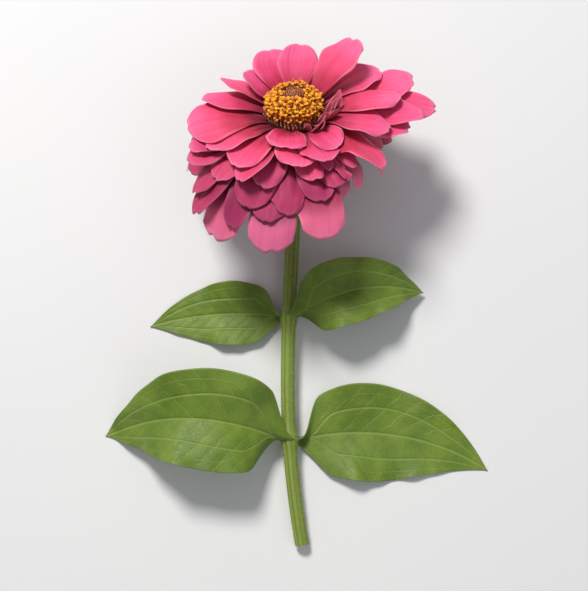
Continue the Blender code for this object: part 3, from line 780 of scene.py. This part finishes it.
def build_involucre(material):
    piece = Piece()
    heights = np.linspace(CUP_TOP, CUP_FOOT, 16)
    profile = [(0, CUP_TOP), *((float(cup_radius(h)), h) for h in heights), (0, CUP_FOOT)]
    piece.add_rings(in_world(lathe(profile, 72)))
    draw = Draw(BRACT_SEED)
    u, v = grid_places(16, 16)
    for row, (height, count, length) in enumerate(BRACT_ROWS):
        for i in range(count):
            azimuth = (i + 0.5 * (row % 2)) * 360 / count + row * 7 + 3 * math.sin(i * 2.4)
            half = BRACT_HALF_WIDTH * np.sqrt(np.clip(1 - np.clip((v - 0.4) / 0.66, 0, 1) ** 2, 0.1, 1))
            fringe = 0.012 * np.sin(u * 41 + i) * v**10
            up = height - 0.1 * (i % 2) + length * (v - 0.14 * u**2 * v**2 + fringe)
            outer = cup_radius(up) + between(BRACT_FOOT, BRACT_FLARE, v) + 0.14 * (i % 3)
            outer = outer + 0.12 * np.cos(u * 4.5) * v - BRACT_BLADE / 2 - 0.1 * np.abs(u) ** 3
            angle = radians(azimuth) + u * half / outer
            points = np.stack([outer * np.cos(angle), outer * np.sin(angle), up], -1)
            thin = BRACT_BLADE / 2 * (1 - 0.6 * np.maximum(np.abs(u) ** 4, v**6))
            world = in_world(points[:, ::-1])
            blade(piece, world, thin, along=v, across=u[:, ::-1], tint=draw(-1, 1))
    piece.object("involucre_fine", material, ["involucre"], "bract_green")


# Stem


def bezier(start, first, second, end, count):
    t = np.linspace(0, 1, count)[:, None]
    return (1 - t) ** 3 * start + 3 * (1 - t) ** 2 * t * first + 3 * (1 - t) * t**2 * second + t**3 * end


def stem_line(count=48):
    """The stem's middle line from the head to the cut end, evenly spaced, and the distance along it."""
    top = in_world(np.array([0, 0, CUP_FOOT - JOINT_GAP]))
    touch = np.array([*STEM_RUN_START, NODE_HEIGHT])
    end = np.array([*STEM_END, STEM_RADIUS])
    bend = (top - HEAD[:3, 2] * STEM_BEND_PULL[0], touch + [1, STEM_BEND_PULL[1], 0])
    down = bezier(top, *bend, touch, 60)
    run = bezier(touch, touch + STEM_RUN_PULLS[0], end + STEM_RUN_PULLS[1], end, 80)
    points = np.vstack([down, run[1:]])
    distance = np.concatenate([[0], np.cumsum(np.linalg.norm(np.diff(points, axis=0), axis=1))])
    even = np.linspace(0, distance[-1], count)
    return even, on_line(even, distance, points)


def stem_radius(distance):
    flare = (STEM_TOP_RADIUS - STEM_RADIUS) * np.exp(-distance / STEM_FLARE_LENGTH)
    swell = sum(NODE_SWELL * bell(distance - node, NODE_SPREAD) for node in LEAF_NODES)
    return STEM_RADIUS + flare + swell


def stem_skin(distance, angle):
    """The stem's radius with its ribs, at a distance along it and an angle round it."""
    ribs = 0.09 * np.cos(9 * angle + 0.01 * distance) + 0.03 * np.cos(23 * angle + 1)
    scar = 0.16 * sum(bell(distance - node - 1.2, 0.35) for node in LEAF_NODES)
    return stem_radius(distance) - 0.08 + ribs - scar


def build_stem(material):
    piece = Piece()
    distance, line = stem_line(STEM_RINGS)
    angle = around(STEM_SIDES)
    rings = tube(line, stem_skin(distance[:, None], angle), STEM_SIDES)
    piece.add_rings(rings, -1, far=distance[:, None], turn=angle)
    share, depth = np.array(CUT_RINGS, float).T[..., None]
    cap = between(line[-1], rings[-1], np.maximum(share, 0.002)[..., None])
    cap = cap - unit(line[-1] - line[-2]) * depth[..., None]
    piece.add_rings(cap, -1, far=distance[-1], cut=1.05 - share)
    piece.add_rings([between(line[0], rings[0], 0.002), rings[0]], -1)
    piece.object("stem_fine", material, ["stem"], "stem_green")


def add_hair(piece, root, direction, droop, length, radius):
    """One fine hair that tapers to its tip."""
    t = np.linspace(0, 1, 4)[:, None]
    line = root + direction * length * t + droop * length * t**2
    side = np.array([0.3, 0.5, 0.81]) if abs(direction[2]) < 0.8 else np.array([1, 0.1, 0])
    piece.add_rings(tube(line, radius * (1 - 0.85 * t[:, 0]), 3, up=side), -1, tip=t)


def build_stem_hairs(material):
    piece = Piece()
    draw = Draw(HAIR_SEED)
    even, line = stem_line(400)
    ahead = unit(np.gradient(line, axis=0))
    right, above = frame(ahead)
    for _ in range(HAIR_COUNT):
        far = draw.random() ** 1.15
        at = min(len(line) - 1, int(round(far * (len(line) - 1))))
        if even[at] > even[-1] - 1:
            continue
        turn = draw(0, 2 * math.pi)
        outward = math.cos(turn) * right[at] + math.sin(turn) * above[at]
        lean = np.array([draw(-0.25, 0.25) for _ in range(3)]) - 0.15 * ahead[at]
        direction = unit(outward + lean)
        length = draw(0.6, 1.3)
        root = line[at] + outward * (stem_skin(even[at], turn) - 0.1)
        if (root + direction * length)[2] >= 0.15:
            add_hair(piece, root, direction, -0.2 * ahead[at], length, 0.055)
    piece.object("stem_hairs", material, ["stem"], "stem_green")


# Leaves


def leaf_outline(v, leaf):
    """Half width of a leaf along its length."""
    before, after = LEAF_WIDEST, 1 - LEAF_WIDEST
    shape = (np.maximum(v, 1e-4) / before) ** 0.6 * (np.maximum(1 - v, 0) / after) ** 1.08
    return np.maximum(leaf.half_width * shape, 0.9 - 0.75 * smooth((v - 0.4) / 0.4))


def clear_of_stem(points, centre, ahead, radius):
    """Moves points that are nearer than radius to the line through centre out to that distance."""
    offset = points - centre
    away = offset - (offset @ ahead)[..., None] * ahead
    distance = np.linalg.norm(away, axis=-1, keepdims=True)
    return points + away * (np.maximum(distance, radius) / distance - 1)


def leaf_nerves(u, v, half, leaf):
    """Distances in millimetres to the midrib and the side nerves, and the phase of the side veins."""
    midrib = u * half
    nerve = 0.5 * smooth((v - 0.02) / 0.2) + 0.03 * np.sin(9 * v + leaf.side)
    lateral = (np.abs(u) - nerve) * half
    outer = (np.abs(u) - 0.8 * smooth((v - 0.03) / 0.3)) * half
    lean = 0.2 * np.abs(u) ** 0.85
    phase = (v - lean) * SIDE_VEINS + np.where(u < 0, 0.42, 0)
    return midrib, lateral, outer, phase


def leaf_surface(leaf):
    """The middle of a leaf as a grid of world points: its base clasps the stem, then it spreads."""
    distance, line = stem_line()
    at = LEAF_NODES[leaf.node]
    centre = on_line(at, distance, line)
    ahead = unit(on_line(at - 1, distance, line) - centre)
    right, above = frame(ahead)
    side = radians(leaf.side)
    outward = math.cos(side) * right + math.sin(side) * above
    tangent = math.sin(side) * right - math.cos(side) * above
    hug = float(stem_radius(at)) + LEAF_GRIP

    u, v = grid_places(LEAF_COLUMNS, LEAF_ROWS)
    v = v**1.25
    t = np.linspace(0, 1, LINE_STEPS)
    heading = np.radians(leaf.heading + leaf.turn * t**1.2)
    climb = np.radians(between(leaf.climb, leaf.droop, smooth(t * 1.15)))
    middle = centre + outward * hug + leaf.length * cumulative(towards(climb, heading))
    heading, climb = np.interp(v, t, heading), np.interp(v, t, climb)
    along, across = towards(climb, heading), -beside(heading)
    normal = np.cross(across, along)
    half = leaf_outline(v, leaf)
    fold = radians(leaf.fold) * (1 - 0.5 * v) * smooth(v / LEAF_FOLD_START)
    swing = np.sin(v * 37 + leaf.side + np.where(u < 0, 1.3, 0))
    ripple = leaf.wave * np.sin(v * 15 + leaf.side) * u**2 * np.sin(np.pi * v)
    ripple = ripple + 0.35 * leaf.wave * swing * np.abs(u) ** 3 * np.sin(np.pi * v)
    *_, phase = leaf_nerves(u, v, half, leaf)
    pillow = 0.28 * (np.abs(np.sin(np.pi * phase)) ** 0.7 - 0.5) * np.abs(u) ** 0.5 * (1 - np.abs(u) ** 4)
    pillow = pillow * smooth((v - 0.08) / 0.2) * smooth((1 - v) / 0.2)
    soft = np.sqrt(u**2 + 0.0009) - 0.03
    out, lift = half * u * np.cos(fold), half * soft * np.sin(fold) + ripple + pillow
    free = on_line(v, t, middle) + out[..., None] * across + lift[..., None] * normal

    wrap = radians(LEAF_CLASP) * u[..., None]
    ring = np.cos(wrap) * outward + np.sin(wrap) * tangent
    clasp = centre + ring * hug + v[..., None] * leaf.length * along
    held = (1 - smooth(v / LEAF_HELD))[..., None]
    points = clear_of_stem(held * clasp + (1 - held) * free, centre, ahead, hug)
    return points, u, v, half


def build_leaf(leaf, material):
    points, u, v, half = leaf_surface(leaf)
    points[..., 2] = pressed(points[..., 2], LEAF_SOLID / 2)
    midrib, lateral, outer, phase = leaf_nerves(u, v, half, leaf)
    fade = smooth((1 - v) / 0.5)
    edge = LEAF_BLADE / 2 * (1 - 0.6 * np.abs(u) ** 6)
    above = edge - (0.22 * bell(midrib, 0.55) * fade + 0.12 * bell(lateral, 0.45) * fade)
    below = edge + 0.55 * bell(midrib, 0.75) * between(0.25, 1, fade) + 0.2 * bell(lateral, 0.5) * fade
    grids = (points, above, below, u, midrib, lateral, outer, phase)
    if grid_normals(points)[LEAF_ROWS // 2, LEAF_COLUMNS // 2][2] < 0:
        grids = [grid[:, ::-1] for grid in grids]
    points, above, below, u, midrib, lateral, outer, phase = grids
    piece, far, tint = Piece(), v * leaf.length, leaf.side / 360
    nerves = {"midrib": midrib, "lateral": lateral, "outer": outer, "vein": phase}
    blade(piece, points, above, below, along=v, across=u, far=far, tint=tint, **nerves)
    piece.object(f"{leaf.name}_fine", material, [leaf.name], "leaf_green")


# Materials


class Shade:
    """The nodes of one material, added a few at a time. An input may be a number, a colour or a socket."""

    def __init__(self, name, **constants):
        self.material = bpy.data.materials.new(name)
        self.material.use_nodes = True
        self.tree = self.material.node_tree
        self.shader = self.tree.nodes["Principled BSDF"]
        for socket, value in constants.items():
            self.shader.inputs[socket.replace("_", " ")].default_value = value

    def link(self, value, socket):
        if isinstance(value, bpy.types.NodeSocket):
            self.tree.links.new(value, socket)
        else:
            socket.default_value = (*value, 1) if isinstance(value, tuple) else value

    def add(self, kind, inputs, output=0, **settings):
        """The output of a new node."""
        node = self.tree.nodes.new(f"ShaderNode{kind}")
        for name, value in settings.items():
            setattr(node, name, value)
        for key, value in inputs.items():
            self.link(value, node.inputs[key])
        return node.outputs[output]

    def values(self, names):
        """The values that the mesh carries under these names."""
        return [self.add("Attribute", {}, "Fac", attribute_name=name) for name in names.split()]

    def math(self, operation, first, second=0, third=0):
        return self.add("Math", {0: first, 1: second, 2: third}, operation=operation)

    def plus(self, first, second):
        return self.math("ADD", first, second)

    def times(self, first, second, *plus):
        return self.math("MULTIPLY_ADD" if plus else "MULTIPLY", first, second, *plus)

    def size(self, value):
        return self.math("ABSOLUTE", value)

    def larger(self, first, second):
        return self.math("MAXIMUM", first, second)

    def span(self, value, low, high, to_low=0, to_high=1):
        """The value taken from low..high to to_low..to_high, smoothly and no further."""
        inputs = {"Value": value, "From Min": low, "From Max": high, "To Min": to_low, "To Max": to_high}
        return self.add("MapRange", inputs, "Result", interpolation_type="SMOOTHSTEP")

    def place(self, *axes):
        """A vector of three values, each of them times a number where it comes with one."""
        axes = [self.times(*axis) if isinstance(axis, tuple) else axis for axis in axes]
        return self.add("CombineXYZ", dict(zip("XYZ", axes)))

    def noise(self, place, scale, detail=3, rough=0.55):
        inputs = {"Vector": place, "Scale": scale, "Detail": detail, "Roughness": rough}
        return self.add("TexNoise", inputs, "Fac")

    def grain(self, *settings):
        """Noise over the object itself."""
        return self.noise(self.add("TexCoord", {}, "Object"), *settings)

    def ramp(self, factor, *stops):
        """Colours by the factor. A stop is its position and its colour."""
        node = self.tree.nodes.new("ShaderNodeValToRGB")
        self.link(factor, node.inputs["Fac"])
        node.color_ramp.interpolation = "EASE"
        elements = node.color_ramp.elements
        while len(elements) < len(stops):
            elements.new(0.5)
        for element, stop in zip(elements, stops):
            element.position = stop[0]
        for element, stop in zip(elements, stops):
            element.color = (*stop[1:], 1)
        return node.outputs["Color"]

    def mix(self, factor, first, second):
        return self.add("Mix", {0: factor, 6: first, 7: second}, 2, data_type="RGBA")

    def stained(self, colour, *stains):
        """The colour under others, each as strong as most where its value has gone from low to high."""
        for value, low, high, most, stain in stains:
            colour = self.mix(self.span(value, low, high, 0, most), colour, stain)
        return colour

    def varied(self, colour, hue, value):
        return self.add("HueSaturation", {"Hue": hue, "Value": value, "Color": colour})

    def finish(self, colour, grain, smoothest, roughest, height, strength, distance):
        """The finished material, as rough as its grain says, with a bump by height."""
        roughness = self.span(grain, 0.2, 0.8, smoothest, roughest)
        bump = self.add("Bump", {"Height": height, "Strength": strength, "Distance": distance})
        for name, value in (("Base Color", colour), ("Roughness", roughness), ("Normal", bump)):
            self.link(value, self.shader.inputs[name])
        return self.material


def petal_material():
    s = Shade(
        "petal_skin",
        Subsurface_Weight=0.1, Subsurface_Scale=0.001, Sheen_Weight=0.12, Sheen_Roughness=0.4,
        Sheen_Tint=(1, 0.7, 0.8, 1), Specular_IOR_Level=0.3,
    )
    along, across, tint, face, young, depth, pale = s.values("along across tint face young depth pale")
    off, shift = s.size(across), s.times(tint, 31)
    streak = s.noise(s.place((across, 9), (along, 1.3), shift), 1, 4, 0.6)
    fine = s.noise(s.place((across, 30), (along, 3), shift), 1, 2, 0.5)
    patch = s.noise(s.place(across, (along, 2.2), shift), 1.3, 2, 0.5)
    # The upper face darkens towards its root: partly the petal's own darker claw, partly painted shade where
    # the petals crowd by the disc; depth pushes this painted shade further out on the lower petals.
    upper = s.ramp(
        s.plus(s.times(depth, -0.42, along), s.times(patch, 0.24, -0.12)),
        (0, 0.05, 0.003, 0.009), (0.16, 0.17, 0.006, 0.02), (0.36, 0.46, 0.02, 0.06),
        (0.64, 0.78, 0.062, 0.17), (0.95, 0.91, 0.12, 0.29),
    )
    lower = s.ramp(
        along,
        (0, 0.1, 0.08, 0.03), (0.2, 0.34, 0.06, 0.06), (0.6, 0.56, 0.085, 0.14),
        (1, 0.66, 0.12, 0.2),
    )
    # rim: a painted highlight along the edges and the tip, where light shows through the thin petal.
    rim = s.larger(s.span(off, 0.84, 1), s.span(along, 0.95, 1))
    rim = s.times(rim, s.span(along, 0.3, 0.6, 0, 0.5))
    colour = s.stained(
        s.mix(rim, s.mix(face, lower, upper), (0.95, 0.32, 0.45)),
        (streak, 0.4, 0.8, 0.42, (0.5, 0.015, 0.07)),
        (fine, 0.5, 0.8, 0.22, (0.95, 0.2, 0.34)),
        # depth: painted shade, a dark crimson stain on the petals lower on the head.
        (depth, 0.22, 0.65, 0.5, (0.42, 0.028, 0.14)),
        (pale, 0, 1, 0.34, (0.92, 0.3, 0.5)),
    )
    newest = s.ramp(along, (0, 0.1, 0.008, 0.01), (0.6, 0.34, 0.03, 0.06), (1, 0.6, 0.1, 0.16))
    newest = s.stained(newest, (off, 0.55, 1, 1, (0.86, 0.3, 0.36)))
    # The value varies at random by petal and drops on the lower petals, as painted shade.
    tone_and_painted_shade = s.times(tint, 0.11, s.span(depth, 0.18, 0.62, 1.03, 0.76))
    colour = s.varied(s.mix(young, colour, newest), s.times(tint, 0.006, 0.498), tone_and_painted_shade)
    height = s.plus(s.times(streak, 1, fine), s.times(s.grain(2600, 1, 0.5), 0.25))
    return s.finish(colour, streak, 0.5, 0.68, height, 0.5, 0.00022)


def core_material():
    s = Shade("receptacle_skin")
    (height,) = s.values("height")
    grain = s.grain(900)
    # Green at the foot, dark maroon towards the top: partly the receptacle's own colour, partly painted shade
    # in the gap under the disc.
    colour = s.ramp(s.span(height, -9, -1), (0, 0.16, 0.2, 0.05), (1, 0.1, 0.012, 0.012))
    colour = s.stained(colour, (grain, 0.4, 0.7, 0.5, (0.03, 0.006, 0.004)))
    return s.finish(colour, grain, 0.6, 0.85, grain, 0.6, 0.0003)


def floret_material():
    s = Shade(
        "floret_skin",
        Sheen_Weight=0.15, Sheen_Tint=(1, 0.85, 0.5, 1), Subsurface_Weight=0.1,
        Subsurface_Scale=0.0008,
    )
    lobe, tint, part, shade = s.values("lobe tint part shade")
    grain = s.grain(2200)
    star = s.ramp(
        lobe,
        (0, 0.62, 0.18, 0.008), (0.2, 0.88, 0.3, 0.008), (0.55, 0.98, 0.42, 0.01),
        (1, 1, 0.54, 0.02),
    )
    star = s.stained(star, (grain, 0.45, 0.75, 0.4, (0.8, 0.24, 0.01)))
    star = s.mix(shade, star, (0.44, 0.09, 0.012))
    anther = s.ramp(grain, (0.3, 0.2, 0.045, 0.01), (0.7, 0.42, 0.13, 0.015))
    bed = s.ramp(grain, (0.3, 0.34, 0.075, 0.008), (0.7, 0.52, 0.16, 0.015))
    colour = s.stained(star, (part, 0.2, 0.8, 1, anther), (part, 1.2, 1.8, 1, bed))
    colour = s.varied(colour, s.times(tint, 0.012, 0.5), s.times(tint, 0.1, 1))
    return s.finish(colour, grain, 0.55, 0.8, grain, 0.6, 0.00015)


def chaff_material():
    s = Shade("chaff_skin", Sheen_Weight=0.2)
    along, across, tint = s.values("along across tint")
    streak = s.noise(s.place((across, 6), (along, 1.5), (tint, 9)), 1)
    colour = s.ramp(
        along,
        (0, 0.2, 0.028, 0.01), (0.4, 0.44, 0.085, 0.03), (0.75, 0.64, 0.2, 0.08),
        (1, 0.82, 0.4, 0.18),
    )
    stains = (streak, 0.4, 0.7, 0.4, (0.26, 0.03, 0.03)), (tint, 0.2, 1, 0.35, (0.66, 0.24, 0.06))
    return s.finish(s.stained(colour, *stains), streak, 0.55, 0.8, streak, 0.5, 0.00015)


def bract_material():
    s = Shade("bract_skin", Sheen_Weight=0.1)
    along, across, tint = s.values("along across tint")
    streak = s.noise(s.place((across, 9), (along, 1.4), (tint, 9)), 1, 4)
    grain = s.grain(1600)
    colour = s.ramp(along, (0, 0.17, 0.27, 0.05), (0.6, 0.1, 0.19, 0.03), (1, 0.07, 0.13, 0.03))
    colour = s.stained(colour, (streak, 0.4, 0.7, 0.5, (0.2, 0.3, 0.07)))
    edge = s.larger(s.span(s.size(across), 0.62, 0.95), s.span(along, 0.7, 0.93))
    colour = s.mix(s.times(edge, s.span(along, 0.25, 0.5)), colour, (0.018, 0.01, 0.006))
    return s.finish(colour, grain, 0.45, 0.7, s.plus(streak, s.times(grain, 0.4)), 0.5, 0.0002)


def stem_material():
    s = Shade("stem_skin", Subsurface_Weight=0.08, Subsurface_Scale=0.001)
    far, turn, cut = s.values("far turn cut")
    ribs = s.math("SINE", s.times(turn, 9, s.times(far, 0.01)))
    spot = s.place((s.math("SINE", turn), 3), (far, 0.25), (s.math("COSINE", turn), 3))
    streak = s.noise(spot, 1, 5, 0.6)
    grain = s.grain(1500)
    pith = s.ramp(
        cut,
        (0.05, 0.16, 0.24, 0.05), (0.14, 0.34, 0.44, 0.16), (0.3, 0.58, 0.62, 0.4),
        (0.7, 0.66, 0.66, 0.48), (1, 0.3, 0.28, 0.16),
    )
    colour = s.stained(
        s.mix(s.span(ribs, -1, 1), (0.15, 0.235, 0.022), (0.27, 0.36, 0.055)),
        (streak, 0.35, 0.7, 0.5, (0.21, 0.25, 0.04)),
        (grain, 0.55, 0.8, 0.5, (0.34, 0.4, 0.16)),
        # Darker within 14 mm of the head: painted shade under the flower head.
        (far, 14, 0, 0.5, (0.1, 0.18, 0.03)),
        (cut, 0.045, 0.055, 1, pith),
    )
    return s.finish(colour, grain, 0.42, 0.65, s.plus(streak, s.times(grain, 0.5)), 0.5, 0.0002)


def hair_material():
    s = Shade("hair_skin")
    (tip,) = s.values("tip")
    grain = s.grain(800)
    colour = s.ramp(tip, (0, 0.46, 0.54, 0.24), (1, 0.88, 0.9, 0.76))
    return s.finish(colour, grain, 0.4, 0.6, grain, 0.1, 0.00005)


def leaf_material():
    s = Shade(
        "leaf_skin",
        Subsurface_Weight=0.06, Subsurface_Scale=0.0008, Specular_IOR_Level=0.4, Sheen_Weight=0.08,
    )
    across, along, face, far, tint, phase = s.values("across along face far tint vein")
    midrib, lateral, outer = s.values("midrib lateral outer")
    off, spot = s.size(across), s.place(midrib, far, (tint, 40))
    wander = s.times(s.noise(spot, 0.35, 2), 0.5, -0.25)
    saw = s.math("PINGPONG", s.plus(phase, wander), 0.5)
    main = s.span(s.size(midrib), 0.75, 0.15)
    side = s.times(s.span(s.size(lateral), 0.55, 0.1), s.span(along, 0.75, 1, 1, 0.3))
    third = s.times(s.span(s.size(outer), 0.35, 0.05), 0.45)
    cross = s.times(s.span(saw, 0.055, 0), s.span(off, 0, 0.1, 0.8, 0.55))
    veins = s.larger(s.larger(main, side), s.larger(third, cross))
    cells = {"Vector": spot, "Scale": 0.62, "Randomness": 0.9}
    net = s.span(s.add("TexVoronoi", cells, "Distance", feature="DISTANCE_TO_EDGE"), 0.09, 0)
    net = s.times(net, 0.5)
    grain, cloud = s.grain(1300), s.noise(spot, 0.12)
    upper = s.ramp(cloud, (0.3, 0.105, 0.185, 0.012), (0.7, 0.165, 0.255, 0.02))
    lower = s.ramp(cloud, (0.3, 0.16, 0.235, 0.075), (0.7, 0.21, 0.29, 0.1))
    colour = s.mix(s.times(net, 0.5), s.mix(face, lower, upper), (0.19, 0.28, 0.04))
    colour = s.stained(
        s.mix(s.times(veins, 0.5), colour, (0.28, 0.37, 0.09)),
        (grain, 0.55, 0.8, 0.25, (0.24, 0.33, 0.06)),
        (off, 0.955, 1, 0.5, (0.26, 0.33, 0.12)),
    )
    height = s.plus(s.times(veins, -0.8, s.times(net, -0.22)), s.times(grain, 0.45))
    return s.finish(colour, grain, 0.42, 0.62, height, 0.6, 0.0003)


def floor_material():
    s = Shade("floor_skin")
    cloud = s.grain(3)
    colour = s.mix(s.span(cloud, 0.3, 0.7), (0.8, 0.8, 0.81), (0.83, 0.83, 0.83))
    return s.finish(colour, cloud, 0.7, 0.8, cloud, 0.05, 0.0001)


# Scene


def build_floor(material):
    mesh = bpy.data.meshes.new("floor")
    far = FLOOR_REACH
    mesh.from_pydata([(-far, -far, 0), (far, -far, 0), (far, far, 0), (-far, far, 0)], [], [(0, 1, 2, 3)])
    mesh.materials.append(material)
    obj = added("floor", mesh)


def looking(name, data, at, direction):
    """A lamp or a camera at a point, turned so that it looks in a direction."""
    obj = added(name, data)
    obj.location = at
    obj.rotation_euler = direction.to_track_quat("-Z", "Y").to_euler()
    return obj


def light_scene():
    world = bpy.data.worlds.new("studio")
    world.use_nodes = True
    background = world.node_tree.nodes["Background"]
    background.inputs["Color"].default_value = SKY_COLOUR
    background.inputs["Strength"].default_value = SKY_STRENGTH
    bpy.context.scene.world = world
    for name, at, aim, size, watts, colour in LAMPS:
        lamp = bpy.data.lights.new(name, "AREA")
        lamp.shape, lamp.size, lamp.energy, lamp.color = "DISK", size, watts, colour
        looking(name, lamp, at, Vector(aim) - Vector(at))


def add_camera():
    elevation = radians(CAMERA_ELEVATION)
    back = Vector((0, -math.cos(elevation), math.sin(elevation)))
    camera = bpy.data.cameras.new("camera")
    camera.lens = CAMERA_LENS
    at = Vector(CAMERA_AIM) + back * (SPAN_IN_VIEW * CAMERA_LENS / SENSOR_WIDTH)
    bpy.context.scene.camera = looking("camera", camera, at, -back)


petals = petal_material()
shown = [Petal(*row, arch_of(row[2])) for row in SHOWN_PETALS]
shown, filling = petal_surfaces(shown, RUFFLE_SEED), petal_surfaces(fill_petals(), RUFFLE_SEED + 1)
whole_head = list(settled(shown + filling))
front = [surface for surface in whole_head if surface[0].columns == SHOWN_COLUMNS]
back = [surface for surface in whole_head if surface[0].columns != SHOWN_COLUMNS]
young = petal_surfaces([Petal(*row, YOUNG_ARCH, 10, 24) for row in YOUNG_PETALS], RUFFLE_SEED + 2)
build_petals("ray_petals_front", front, petals)
build_petals("ray_petals_back", back, petals)
build_petals("ray_petals_young", young, petals, young=1)
build_receptacle(core_material())

chaff = chaff_material()
build_disc_florets(floret_material())
build_chaff(chaff)
build_chaff_ring(chaff)
build_involucre(bract_material())
build_stem(stem_material())
build_stem_hairs(hair_material())
leaves = leaf_material()
for leaf in LEAVES:
    build_leaf(leaf, leaves)

build_floor(floor_material())
light_scene()
add_camera()
bpy.context.scene.view_settings.view_transform = "Standard"
